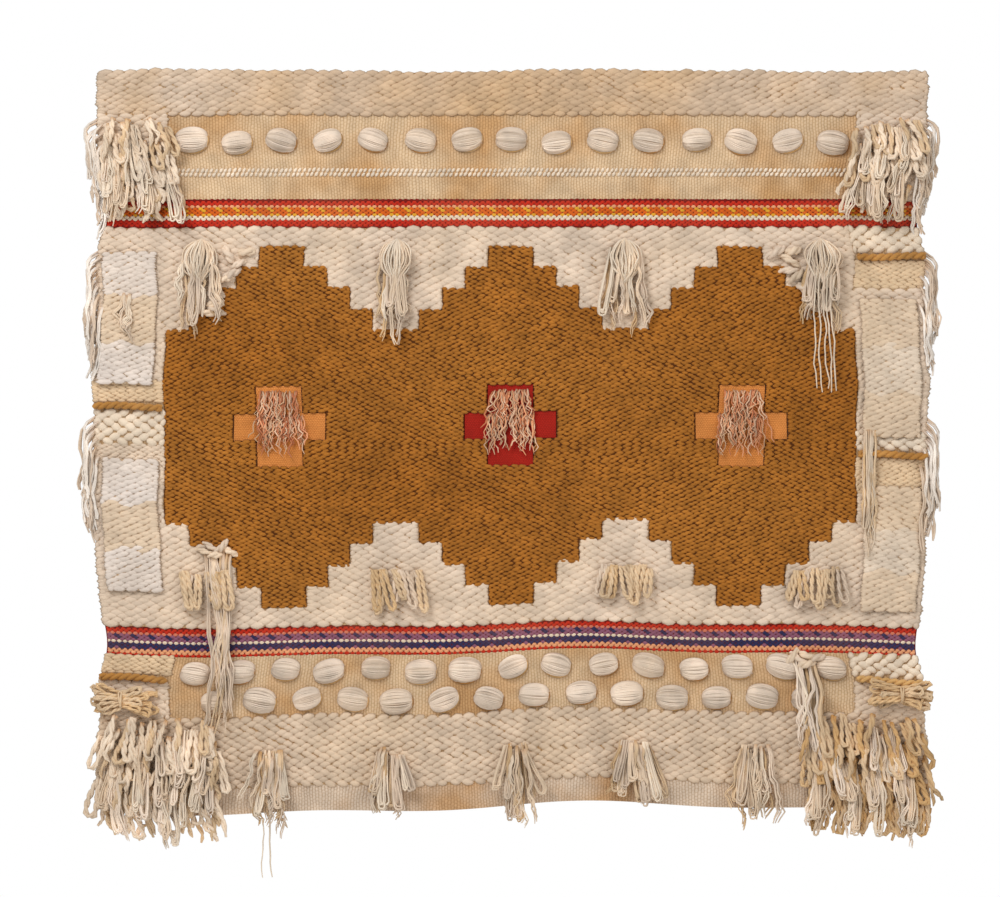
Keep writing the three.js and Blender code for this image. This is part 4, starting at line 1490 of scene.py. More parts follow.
@dataclass(frozen=True)
class GroundCloth:
    """The one-piece ground cloth from heading to hem, with its raised stitches."""

    cell: float = 13.0
    chunky: float = 6.0
    fine: float = 4.5
    twined: float = 4.6
    hem: float = 5.3
    pocket: float = 3.0
    band_pocket: float = 2.0

    def depths(self, zones: Array) -> Array:
        """Front depth of the ground in each cell."""
        table = {
            Zone.PLAIN: self.fine,
            Zone.TWINED: self.twined,
            Zone.HEM: self.hem,
            Zone.BROWN: self.pocket,
            Zone.WINDOW: self.pocket,
            Zone.BAND_UPPER: self.band_pocket,
            Zone.BAND_LOWER: self.band_pocket,
        }
        return np.array([table.get(zone, self.chunky) for zone in Zone])[zones]

    def rows(self, shop: Workshop, rows: ZoneRows) -> Piece:
        """Weave the rows of some zones, clear of strips and roving lines."""
        numbers = [zone.value for zone in rows.zones]

        def is_inside(x: Array, z: float) -> Array:
            """Tell which places of a row belong to the zones alone."""
            taken = np.any([line.holds(x, z) for line in (*STRIPS, *ROVING_LINES)], axis=0)
            return np.isin(LOOM.zone(x, z), numbers) & ~taken

        extent = (-LOOM.half_width, LOOM.half_width, *rows.span)
        points = weave_rows(rows.style, extent, is_inside, rows.dye, rows.seed)
        name = f"{rows.name}_stitches"
        return shop.stitched(name, points, rows.style, shop.full_lens, rows.finish, rows.seed)

    def strip(self, shop: Workshop, number: int, strip: Strip) -> Piece:
        """Weave one strip of a side border."""
        left, right = sorted((strip.side.value * LOOM.field_half, strip.side.value * LOOM.half_width))
        extent = (left, right, strip.top, strip.bottom)
        name, seed = f"strip_{number}_stitches", 199 + number
        points = weave_rows(strip.style, extent, everywhere, plain_dye(strip.dye), seed)
        return shop.stitched(name, points, strip.style, shop.full_lens, "cream_stitch", seed)

    def build(self, shop: Workshop) -> None:
        """Make the cloth and tie it to the frame."""
        # Painted shade: the ground's front under the raised stitches takes the darker gap colours.
        gaps = dict.fromkeys((Zone.HEADING, Zone.GROUND, Zone.BORDER, Zone.SKIRT), CREAM_GAP_SHADE)
        shown = {Zone.PLAIN: PLAIN_CREAM, Zone.TWINED: OCHRE_CREAM}
        pockets = dict.fromkeys((Zone.WINDOW, Zone.BAND_UPPER, Zone.BAND_LOWER), DARK_RED)
        fronts = {**gaps, **shown, **pockets, Zone.BROWN: BROWN_GAP_SHADE_AND_STAIN}
        backs = {Zone.BROWN: BROWN, Zone.WINDOW: ORANGE, Zone.BAND_UPPER: RED, Zone.BAND_LOWER: VIOLET,
                 Zone.PLAIN: OCHRE_CREAM}
        sheet = ReliefSheet.cut((-LOOM.half_width, LOOM.half_width, 0.0, -LOOM.drop), self.cell, self.depths)
        ground = sheet.lay("cloth_ground", fronts, backs, shop.finishes["ground_weave"])
        settle(ground, "cream_wool", "woven_cloth")
        raised = [self.rows(shop, rows) for rows in ZONE_ROWS]
        raised.extend(self.strip(shop, k + 1, strip) for k, strip in enumerate(STRIPS))
        rng = np.random.default_rng(17)
        plies = [ply for line in ROVING_LINES for ply in line.plies(rng)]
        raised.append(shop.spun("roving_lines", plies, "soft_roving", 6))
        stitches = [settle(piece, "cream_wool") for piece in raised]
        sheet.flat_size()


@dataclass(frozen=True)
class Inset:
    """How a panel lies in a pocket of the ground cloth, in millimetres."""

    zone: Zone
    front: float
    back: float = 3.35
    gap: float = 0.35
    cell: float = 13.0

    def sheet(self, extent: Extent) -> ReliefSheet:
        """Cut the panel from the cells of its zone."""
        def depths(zones: Array) -> Array:
            """Front depth of the zone's cells, not-a-number in the others."""
            return np.where(zones == self.zone.value, self.front, math.nan)

        return ReliefSheet.cut(extent, self.cell, depths, back=self.back, inset=self.gap)


@dataclass(frozen=True)
class BrownField:
    """The golden-brown chain of stepped lozenges."""

    inset: Inset = Inset(Zone.BROWN, front=6.6)
    lots: tuple[Colour, Colour] = BROWN_LOTS

    def dye(self, x: Array, z: Array, row: int) -> Array:
        """Dye the stitches in slow patches of two dye lots."""
        lot = slanted(x, z, 130, 90) + 0.7 * slanted(x, z, -210, 41)
        return blend(np.clip(0.5 + 0.3 * lot, 0, 1), *self.lots)

    def build(self, shop: Workshop) -> None:
        """Make the panel's ground and stitches, and tie them to the frame."""
        extent = (-LOOM.field_half, LOOM.field_half, LOOM.middle + LOOM.reach, LOOM.middle - LOOM.reach)
        sheet = self.inset.sheet(extent)
        finish = shop.finishes["brown_ground_weave"]
        # Painted shade: the brown ground's front under the stitches takes the dark gap colour, its back the
        # plain brown.
        ground = sheet.lay("brown_ground", {Zone.BROWN: BROWN_GAP_SHADE_AND_STAIN}, {Zone.BROWN: BROWN}, finish)
        settle(ground, "brown_wool", "brown_field")

        def is_brown(x: Array, z: float) -> Array:
            """Tell which places of a row are brown."""
            return LOOM.zone(x, z) == Zone.BROWN.value

        points = weave_rows(CHUNKY_BROWN, extent, is_brown, self.dye, 21)
        upper = points.places[:, 2] > LOOM.middle
        for name, chosen in (("brown_stitches_upper", upper), ("brown_stitches_lower", ~upper)):
            half = shop.stitched(name, points.part(chosen), CHUNKY_BROWN, shop.fine_lens, "brown_stitch", 22)
            settle(half, "brown_wool")
        sheet.flat_size()
        sheet.area()


@dataclass(frozen=True)
class StripeBand:
    """A thin striped band set in from edge to edge."""

    name: str
    zone: Zone
    span: Span
    stripes: tuple[Colour, ...]
    picks: dict[int, Colour]
    seed: int

    def dye(self, x: Array, z: Array, row: int) -> Array:
        """Dye by stripe, with picks of a second colour in some stripes."""
        rows = round((self.span[0] - self.span[1]) / BAND_FINE.row)
        stripe = int((row + 0.5) / rows * len(self.stripes))
        base = np.tile(np.array(self.stripes[stripe]), (len(x), 1))
        if stripe in self.picks:
            base[np.arange(len(x)) % 3 == row % 3] = self.picks[stripe]
        return base

    def build(self, shop: Workshop) -> None:
        """Make the band's ground and stitches, and tie them to the frame."""
        half = LOOM.half_width
        sheet = Inset(self.zone, front=4.2, back=2.35).sheet((-half, half, *self.span))
        finish = shop.finishes["window_weave"]
        ground = sheet.lay(f"band_{self.name}_ground", {self.zone: DARK_RED}, {self.zone: RED}, finish)
        settle(ground, "band_stripes", f"stripe_band_{self.name}")
        points = weave_rows(BAND_FINE, (1 - half, half - 1, *self.span), everywhere, self.dye, self.seed)
        name = f"band_{self.name}_stitches"
        stitches = settle(shop.stitched(name, points, BAND_FINE, shop.fine_lens, "band_stitch", self.seed),
                          "band_stripes")
        sheet.flat_size()


@dataclass(frozen=True)
class TuftRow:
    """A row of frayed yarns in a window, in millimetres from its middle."""

    up: float
    half_width: float
    count: int


@dataclass(frozen=True)
class WindowPanel:
    """A flat fine panel in a window of the brown field, with a frayed tuft."""

    side: str
    middle: float
    colour: Colour
    slot: str
    seed: int
    inset: Inset = Inset(Zone.WINDOW, front=5.4, gap=0.7, cell=8.5)
    tuft_rows: tuple[TuftRow, ...] = (TuftRow(50, 26, 44), TuftRow(16, 34, 52))
    lengths: Span = (30.0, 60.0)
    radii: Span = (0.8, 1.5)
    seat: float = 0.8
    drift: Span = (1.0, 3.0)

    def tuft(self, rng: Draws) -> list[Yarn]:
        """Hang the frayed yarns."""
        yarns = []
        for row in self.tuft_rows:
            for k in range(row.count):
                x = self.middle + row.half_width * in_row(k, row.count)
                x += scatter(rng, self.drift[0])
                hanging = HangingYarn(rng.uniform(*self.lengths), rng.uniform(*self.radii),
                                      lean=scatter(rng, 12), forward=rng.uniform(3, 9), curl=3.2,
                                      turns=2.0, count=9)
                z = LOOM.middle + row.up + scatter(rng, self.drift[1])
                root = (x, self.inset.front + self.seat, z)
                yarns.append(hanging.line(root, dip(TUFT_DYES, rng, 0.15), rng))
        return yarns

    def build(self, shop: Workshop) -> None:
        """Make the panel and its tuft, and tie them to the frame."""
        up, half = (max(sizes) for sizes in zip(*LOOM.windows))
        extent = (self.middle - half, self.middle + half, LOOM.middle + up, LOOM.middle - up)
        sheet = self.inset.sheet(extent)
        name = f"window_{self.side}"
        dyes = {Zone.WINDOW: self.colour}
        panel = settle(sheet.lay(f"{name}_panel", dyes, dyes, shop.finishes["window_weave"]), self.slot, name)
        sheet.flat_size()
        sheet.area()
        name = f"tuft_{self.side}"
        yarns = self.tuft(np.random.default_rng(self.seed))
        settle(shop.spun(f"{name}_yarns", yarns, "frayed_yarn"), "frayed_peach", name)


@dataclass(frozen=True)
class Bobble:
    """One oval bobble: its middle, its turn and its size against the usual one."""

    middle: Span
    tilt: float
    size: float


@dataclass(frozen=True)
class BobbleRow:
    """Oval bobbles wound of fine thread, sewn in a row, in millimetres."""

    name: str
    z: float
    first: int
    seed: int
    half_width: float = 22.0
    half_height: float = 17.0
    rise: float = 12.5
    seat: float = 4.85
    wraps: int = 20
    thread: float = 1.4
    ochre_shade_thread: float = 2.6
    ochre_shade_seat: float = 1.4
    drift: Span = (2.5, 3.0)
    tilt: float = 0.35
    sizes: Span = (0.92, 1.06)
    foot_share: float = 0.93
    core_share: float = 0.9
    core_rings: int = 5
    core_sides: int = 10

    def core(self, bobble: Bobble) -> Array:
        """Lay the points of a bobble's padded core, from its foot to its peak."""
        ring, side = np.divmod(np.arange(self.core_rings * self.core_sides), self.core_sides)
        climb = ring / self.core_rings * math.pi / 2
        angle = TURN * side / self.core_sides
        along = self.foot_share * np.cos(climb) * self.half_width * bobble.size * np.cos(angle)
        up = self.core_share * np.cos(climb) * self.half_height * bobble.size * np.sin(angle)
        x, z = turned(bobble.middle, along, up, bobble.tilt)
        y = -self.seat - self.core_share * np.sin(climb) * self.rise
        peak = (bobble.middle[0], -self.seat - self.core_share * self.rise, bobble.middle[1])
        return np.vstack([np.stack([x, y, z], axis=1), peak])

    def threads(self, bobble: Bobble, rng: Draws) -> list[Yarn]:
        """Wind the threads of one bobble from end to end."""
        yarns = []
        share = np.linspace(0.04, 0.96, 10)
        out = np.sin(share * math.pi) ** 0.7
        for k in range(self.wraps):
            roll = math.radians(-82 + 164 * (k + 0.5) / self.wraps) + scatter(rng, 0.03)
            along = np.cos(share * math.pi) * self.half_width * bobble.size
            up = out * self.half_height * bobble.size * math.sin(roll) + 0.5 * np.sin(share * 4 + k * 0.7)
            x, z = turned(bobble.middle, along, up, bobble.tilt)
            thick = self.thread * (1 + scatter(rng, 0.12))
            dye = dip((BOBBLE_WHITE, BOBBLE_WHITE, BOBBLE_WHITE, CREAM), rng, 0.04)
            yarns.append(Yarn.laid(x, self.seat + out * self.rise * math.cos(roll), z, thick, dye))
        return yarns

    def edge(self, bobble: Bobble, rng: Draws) -> Yarn:
        """Lay the ochre thread round the lower right of a bobble: partly a real ochre outline, partly painted
        shade under the bobble.
        """
        angle = np.linspace(-2.2, 0.7, 14) + scatter(rng, 0.4)
        along = self.half_width * bobble.size * 1.03 * np.cos(angle)
        up = self.half_height * bobble.size * 1.05 * np.sin(angle)
        x, z = turned(bobble.middle, along, up, bobble.tilt)
        thick = self.ochre_shade_thread * np.sin(np.linspace(0.3, 2.85, 14))
        return Yarn.laid(x, self.seat + self.ochre_shade_seat, z, thick, dip((DEEP_OCHRE, OCHRE), rng))

    def build(self, shop: Workshop) -> None:
        """Make the row and tie it to the frame."""
        rng = np.random.default_rng(self.seed)
        cores, yarns = [], []
        for step in range(self.first, -self.first + 1, 2):
            move_x, move_z = (scatter(rng, size) for size in self.drift)
            middle = (step * LOOM.step_width + move_x, self.z + move_z)
            bobble = Bobble(middle, scatter(rng, self.tilt), rng.uniform(*self.sizes))
            cores.append(self.core(bobble))
            yarns.extend(self.threads(bobble, rng))
            yarns.append(self.edge(bobble, rng))
        points = np.concatenate(cores)
        one = dome_faces(self.core_rings, self.core_sides)
        starts = range(0, len(points), len(cores[0]))
        faces = [tuple(index + start for index in face) for start in starts for face in one]
        mesh = facing_out(new_mesh(f"{self.name}_cores", LOOM.hang(points), faces=faces))
        mesh.shade_smooth()
        give(mesh, "dye", opaque(np.tile(CREAM, (len(points), 1))))
        # Painted shade: the core under the threads gets a low crown, so its finish mixes in the gap colour.
        give(mesh, "crown", np.full(len(points), 0.4))
        mesh.materials.append(shop.finishes["twisted_cotton"])
        settle(link(mesh, mesh.name), "bobble_cotton")
        settle(shop.spun(f"{self.name}_threads", yarns, "twisted_cotton", 3), "bobble_cotton", self.name)


@dataclass(frozen=True)
class Tab:
    """A short woven tab sewn to a side border by its top edge, in millimetres."""

    name: str
    left: float
    right: float
    top: float
    bottom: float
    dyes: tuple[Colour, Colour]
    seed: int
    back: float = 9.75
    ground: float = 1.8
    lift: float = 3.2
    cell: float = 7.0
    second_lot: Span = (0.34, 0.68)

    def ripple(self, x: float, z: float) -> float:
        """Forward lift of the tab below its seam."""
        share = (self.top - z) / (self.top - self.bottom)
        return self.lift * share * (0.55 + 0.45 * math.cos((x - self.left) / 26))

    def dye(self, x: Array, z: Array, row: int) -> Array:
        """Dye the stitches, with a second dye lot across the tab's middle."""
        share = (self.top - z) / (self.top - self.bottom) + 0.02 * np.sin(x / 9 + row)
        second = (share > self.second_lot[0]) & (share < self.second_lot[1])
        return np.where(second[:, None], self.dyes[1], self.dyes[0])

    def build(self, shop: Workshop) -> None:
        """Make the tab's ground and stitches, and tie them to the frame."""
        xs, zs = finer([self.left, self.right], self.cell), finer([self.top, self.bottom], self.cell)
        front = self.back + self.ground
        fronts = np.full((len(xs) - 1, len(zs) - 1), front)
        sheet = ReliefSheet(xs, zs, fronts, back=self.back, bulge=self.ripple)
        finish = shop.finishes["ground_weave"]
        # Painted shade: the tab's ground under its stitches takes the darker gap colour.
        ground = sheet.lay(f"{self.name}_ground", dict.fromkeys(Zone, TAB_GAP_SHADE), {}, finish)
        settle(ground, "tab_cotton", self.name)
        extent = (self.left, self.right, self.top, self.bottom)
        points = weave_rows(TAB_CREAM, extent, everywhere, self.dye, self.seed)
        points.places[:, 1] -= front - 0.1 + np.array([self.ripple(x, z) for x, _, z in points.places])
        name = f"{self.name}_stitches"
        shape = shop.stitched(name, points, TAB_CREAM, shop.fine_lens, "tab_stitch", self.seed)
        stitches = settle(shape, "tab_cotton")


@dataclass(frozen=True)
class LockCluster:
    """Soft roving locks in shingled tiers with thin yarns over them, sewn at a corner."""

    name: str
    x: float
    z: float
    width: float
    length: float
    seed: int
    tiers: int = 7
    locks: int = 14
    skeins: int = 14
    radius: float = 4.4
    seat: float = 9.8
    room: float = 26.0
    folded_share: float = 0.4
    top_room: float = 8.0
    height_drift: float = 9.0
    lean: float = 7.0
    lean_drift: float = 11.0
    skein_yarns: int = 4
    skein_spread: float = 3.4
    lock_lengths: Span = (0.26, 0.42)
    twists: Span = (26.0, 42.0)
    skein_lengths: Span = (0.4, 0.8)
    skein_radii: Span = (1.1, 1.5)
    lock_dyes: tuple[Colour, ...] = (LOCK_CREAM, LOCK_CREAM, OCHRE_CREAM)
    yarn_dyes: tuple[Colour, ...] = (IVORY, BOBBLE_WHITE, YARN_WHITE)

    def tier(self, number: int, rng: Draws) -> list[Yarn]:
        """Lay the plies of one tier of locks.

        Args:
            number: The tier, counted from the top.
            rng: The seeded source of numbers.

        Returns:
            The plies of its locks.
        """
        share = number / self.tiers
        plies = []
        for k in range(self.locks):
            across = in_row(k, self.locks) + scatter(rng, 0.1)
            length = min(self.length * rng.uniform(*self.lock_lengths), self.length * (1.02 - share * 0.88))
            radius = self.radius * rng.uniform(0.75, 1.2)
            out = self.room * (1 - share) * rng.uniform(0.5, 0.95)
            lean = across * self.lean + scatter(rng, self.lean_drift)
            hanging = HangingYarn(length, radius, lean=lean, forward=out, settle=out * 0.4, curl=4.0,
                                  turns=0.8, count=17, taper=0.3, lumps=0.1, fold_radius=0.85, fold_count=30)
            height = self.z + self.top_room - self.length * share * 0.8
            height += scatter(rng, self.height_drift)
            root = (self.x + across * self.width / 2, self.seat + radius + 1.5, height)
            lock = hanging.hang(root, dip(self.lock_dyes, rng), rng, rng.uniform() < self.folded_share)
            plies.extend(twisted(lock, rng.uniform(*self.twists), rng))
        return plies

    def skein(self, rng: Draws) -> list[Yarn]:
        """Hang one skein of thin yarns, tucked in between the locks at its top."""
        x = self.x + scatter(rng, 0.46) * self.width
        z = self.z + 4 - rng.uniform(0, 0.5) * self.length
        length = min(rng.uniform(*self.skein_lengths) * self.length, z - self.z + self.length + 6)
        lean = scatter(rng, 10)
        yarns = []
        for is_folded, shares in ((True, (0.55, 0.9)), (False, (0.7, 1.0)), (True, (0.55, 0.9))):
            root = (x + scatter(rng, 8), self.seat + self.room * 0.35, z + scatter(rng, 5))
            forward = self.room * rng.uniform(0.5, 0.8)
            dye = dip(self.yarn_dyes, rng)
            radius = rng.uniform(*self.skein_radii)
            hanging = HangingYarn(length * rng.uniform(*shares), radius, lean=lean + scatter(rng, 9),
                                  forward=forward, settle=6.0, curl=3.2, count=12, fold_length=1.0)
            route = hanging.hang(root, dye, rng, is_folded)
            yarns.extend(clump(route, self.skein_yarns, self.skein_spread, rng))
        return yarns

    def build(self, shop: Workshop) -> None:
        """Make the cluster and tie it to the frame."""
        rng = np.random.default_rng(self.seed)
        locks = [ply for number in range(self.tiers) for ply in self.tier(number, rng)]
        skeins = [yarn for _ in range(self.skeins) for yarn in self.skein(rng)]
        # Painted shade by depth for the locks and skeins behind the others.
        shade = (self.seat - 4, self.seat + 0.6 * self.room)
        settle(shop.spun(f"{self.name}_locks", locks, "soft_roving", 5, shade), "lock_roving", self.name)
        settle(shop.spun(f"{self.name}_skeins", skeins, "twisted_cotton", 4, shade), "tassel_cotton")


@dataclass(frozen=True)
class SideBundle:
    """A bundle of soft roving loops laid across a side edge and bound at its middle."""

    side: Side
    x: float
    z: float
    seed: int
    reaches: Span = (44.0, 54.0)
    loops: int = 12
    spread: float = 21.0
    radius: float = 2.9
    seat: float = 10.0
    twists: Span = (24.0, 34.0)
    binding: float = 11.0
    binding_turns: int = 3
    binding_radius: float = 1.3
    binding_width: float = 6.0
    loop_gap: Span = (3.0, 6.0)
    layer_step: float = 3.0
    layer_lift: float = 5.0
    dyes: tuple[Colour, ...] = (OCHRE_CREAM, OCHRE_CREAM, STRAW)

    def loop(self, place: float, reach: float, layer: int, rng: Draws) -> Yarn:
        """Lay one loop that leaves the binding sideways and comes back.

        Args:
            place: Its place in the fan, -1 to 1.
            reach: How far it goes towards the edge, or away from it where negative.
            layer: Its layer in front of the cloth.
            rng: The seeded source of numbers.

        Returns:
            The loop.
        """
        t = np.linspace(0, 1, 30)
        away = hairpin(t)
        x = self.side.value * (self.x + reach * away)
        gap = rng.uniform(*self.loop_gap) * np.cos(math.pi * t) * (0.3 + 0.7 * away)
        z = self.z + place * self.spread * (0.45 + 0.55 * away**1.4) + gap + wander(rng, t, 1.8)
        lift = self.layer_lift * layer + rng.uniform(0, self.layer_lift)
        depth = self.seat + self.radius + lift * away + self.layer_step * layer
        thick = self.radius * rng.uniform(0.8, 1.2) * (1 + scatter(rng, 0.1, len(t)))
        return Yarn.laid(x, depth, z, thick, dip(self.dyes, rng))

    def wrapping(self, rng: Draws) -> Yarn:
        """Wind the binding round the middle of the bundle."""
        share = np.linspace(0, 1, 56)
        angle = TURN * self.binding_turns * share
        x = self.side.value * (self.x + self.binding_width * (share - 0.5) + 1.5 * np.sin(angle * 0.7))
        depth = self.seat + self.binding * 0.8 * (1 + np.sin(angle))
        z = self.z + self.binding * np.cos(angle)
        return Yarn.laid(x, depth, z, self.binding_radius, dip(self.dyes, rng))

    def build(self, shop: Workshop) -> None:
        """Make the bundle and tie it to the frame."""
        rng = np.random.default_rng(self.seed)
        lines = [self.wrapping(rng)]
        for way, reach in zip((1, -1), self.reaches):
            for k in range(self.loops):
                place = in_row(k, self.loops) + scatter(rng, 0.1)
                loop = self.loop(place, way * reach * rng.uniform(0.5, 1.0), k % 3, rng)
                lines.extend(twisted(loop, rng.uniform(*self.twists), rng))
        settle(shop.spun(f"side_bundle_{self.side.name.lower()}", lines, "soft_roving", 5), "lock_roving")


@dataclass(frozen=True)
class Tassel:
    """A tassel of thin yarns in clumps, with an oval hank or long threads where it has them."""

    name: str
    x: float
    z: float
    width: float
    length: float
    seed: int
    clumps: int = 16
    clump_yarns: int = 5
    clump_spread: float = 3.0
    folded_share: float = 0.5
    radius: float = 1.35
    seat: float = 9.8
    deep: float = 12.0
    hank: int = 0
    hank_length: float = 62.0
    hank_top: float = 15.0
    hank_dome: float = 11.0
    hank_drift: float = 3.0
    curl: float = 3.8
    forward: float = 3.0
    splay: float = 10.0
    threads: tuple[float, ...] = ()
    thread_length: float = 0.0
    thread_radius: float = 1.2
    gather: float = -0.2
    start: float = 1.6
    ragged: float = 2.5
    in_frame: bool = True
    dyes: tuple[Colour, ...] = (YARN_WHITE, IVORY, CREAM)
    back_shade_dyes: tuple[Colour, ...] = (OCHRE_CREAM, OCHRE_CREAM, STRAW)

    def skein(self, rng: Draws) -> list[Yarn]:
        """Hang the oval hank of doubled yarns in front of the loose ones."""
        yarns = []
        share = np.linspace(0, 1, 13)
        belly = np.sin(math.pi * share**0.85) ** 0.8
        for k in range(self.hank):
            place = in_row(k, self.hank) + scatter(rng, 0.12)
            is_loose = k % 3 == 0
            swing = scatter(rng, 0.5) if is_loose else 0.0
            sweep = self.width * 0.5 * place * belly * (1 + swing * (share - 0.5))
            x = self.x + sweep + wander(rng, share, 1.6, 1.4)
            dome = self.hank_dome * belly * math.sqrt(max(0.0, 1 - min(1.0, place * place)))
            out = self.seat + self.deep * 0.6 + dome + scatter(rng, 1.5) + 3 * is_loose * belly
            length = self.hank_length + scatter(rng, self.hank_drift)
            z = self.z + self.hank_top - length * share
            yarns.append(Yarn.laid(x, out, z, self.radius * 1.05, dip(self.dyes[:2], rng, 0.08)))
        return yarns

    def loose(self, number: int, rng: Draws) -> list[Yarn]:
        """Hang one clump of loose yarns.

        Args:
            number: The clump, counted from the cloth outwards.
            rng: The seeded source of numbers.

        Returns:
            Its yarns.
        """
        place = scatter(rng, 1)
        layer = (number + 0.5) / self.clumps
        height = self.z + scatter(rng, 1) * self.ragged
        root = (self.x + place * self.width * 0.4, self.seat + 1.4 + layer * (self.deep - 2), height)
        # Painted shade: the clumps nearest the cloth take warmer, darker dyes.
        dye = dip(self.back_shade_dyes if layer < 0.4 else self.dyes, rng)
        hanging = HangingYarn(self.length * rng.uniform(0.6, 1.05), self.radius * rng.uniform(0.8, 1.2),
                              lean=-place * self.width * self.gather + scatter(rng, self.splay),
                              forward=self.forward, settle=2.0, curl=self.curl, count=15, crimp=1.2,
                              start=self.start)
        route = hanging.hang(root, dye, rng, rng.uniform() < self.folded_share)
        return clump(route, self.clump_yarns, self.clump_spread, rng)

    def thread(self, offset: float, rng: Draws) -> Yarn:
        """Hang one long thread, at an offset from the tassel's middle."""
        hanging = HangingYarn(self.thread_length, self.thread_radius, lean=offset * 0.5, forward=1.5,
                              curl=1.6, turns=2.2, count=18, taper=0.0)
        return hanging.line((self.x + offset, self.seat + self.deep, self.z), IVORY, rng)

    def build(self, shop: Workshop) -> None:
        """Make the tassel and tie it to the frame."""
        rng = np.random.default_rng(self.seed)
        lines = self.skein(rng)
        for number in range(self.clumps):
            lines.extend(self.loose(number, rng))
        lines.extend(self.thread(offset, rng) for offset in self.threads)
        # Painted shade by depth for the yarns behind the others.
        shade = (self.seat - 3, self.seat + 0.75 * self.deep)
        nodes = (self.name,) if self.in_frame else ()
        settle(shop.spun(f"{self.name}_yarns", lines, "twisted_cotton", 4, shade), "tassel_cotton", *nodes)


@dataclass(frozen=True)
class SideFringe:
    """A tier of thin yarns knotted along a side edge, in millimetres."""

    side: Side
    tier: str
    top: float
    bottom: float
    length: float
    seed: int
    clumps: int = 18
    clump_yarns: int = 4
    clump_spread: float = 2.2
    radius: float = 1.35
    root: float = 600.0
    reach: float = 18.0
    seat: float = 4.7
    step_forward: float = 7.5
    margin: float = 4.0
    drift: float = 5.0

    def route(self, number: int, rng: Draws) -> Yarn:
        """Lay the route of one clump.

        Args:
            number: The clump, counted from the foot of the tier.
            rng: The seeded source of numbers.

        Returns:
            The route.
        """
        t = np.linspace(0, 1, 13)
        share = (number + 0.5) / self.clumps
        z0 = self.bottom + self.margin + (self.top - self.bottom - 2 * self.margin) * share
        out = 3 + self.reach * share * rng.uniform(0.6, 1.0)
        length = self.length * rng.uniform(0.8, 1.1)
        in_front = number % 3 == 0
        inner = self.root - (rng.uniform(2, 12) if in_front else 2)
        x = inner + out * np.clip(t * 6, 0, 1) ** 0.5 + wander(rng, t, 2.4, 1.6)
        drift = scatter(rng, self.drift)
        depth = self.seat + drift * np.clip(t * 3, 0, 1) + wander(rng, t, 1.2, 1.4)
        thick = self.radius * (1 + scatter(rng, 0.05, len(t)))
        dye = dip((FRINGE_WHITE, FRINGE_WHITE, CREAM), rng)
        depth = depth + self.step_forward * in_front
        route = Yarn.laid(self.side.value * x, depth, z0 - length * t, thick, dye)
        route.shaded_root = True
        return route

    def build(self, shop: Workshop) -> None:
        """Make the tier and tie it to the frame."""
        rng = np.random.default_rng(self.seed)
        lines = []
        for number in range(self.clumps):
            lines.extend(clump(self.route(number, rng), self.clump_yarns, self.clump_spread, rng))
        name = f"fringe_{self.side.name.lower()}_{self.tier}"
        # Painted shade by depth for the fringe yarns behind the others.
        settle(shop.spun(f"{name}_yarns", lines, "twisted_cotton", 4, (-6.0, 3.0)), "fringe_cotton", name)


@dataclass(frozen=True)
class LoopRow:
    """Thick loops of soft roving sewn in a short row, in millimetres."""

    name: str
    x: float
    z: float
    seed: int
    loops: int = 8
    width: float = 74.0
    reach: float = 56.0
    radius: float = 3.6
    seat: float = 9.8
    half_widths: Span = (4.5, 8.0)
    lean: float = 15.0
    layer_lift: float = 7.0
    twists: Span = (20.0, 28.0)
    dyes: tuple[Colour, ...] = (OCHRE_CREAM, OCHRE_CREAM, CREAM, STRAW)

    def loop(self, number: int, rng: Draws) -> Yarn:
        """Hang one loop, counted from the left."""
        middle = self.x + self.width / 2 * in_row(number, self.loops) + scatter(rng, 3)
        half = rng.uniform(*self.half_widths)
        reach = self.reach * rng.uniform(0.62, 1.12)
        lean = scatter(rng, self.lean)
        t = np.linspace(0, 1, 30)
        down = hairpin(t)
        x = middle - half * np.cos(math.pi * t) * (0.4 + 0.6 * down) + lean * down
        z = self.z + rng.uniform(-3, 5) - reach * down
        lift = (number % 2) * self.layer_lift * down
        depth = self.seat + self.radius + 1 + lift + 3 * np.sin(math.pi * t)
        thick = self.radius * rng.uniform(0.85, 1.15) * (1 + scatter(rng, 0.1, len(t)))
        return Yarn.laid(x, depth, z, thick, dip(self.dyes, rng))

    def build(self, shop: Workshop) -> None:
        """Make the loops and tie them to the frame."""
        rng = np.random.default_rng(self.seed)
        lines = []
        for number in range(self.loops):
            lines.extend(twisted(self.loop(number, rng), rng.uniform(*self.twists), rng))
        settle(shop.spun(f"{self.name}_yarns", lines, "soft_roving", 5), "loop_roving", self.name)


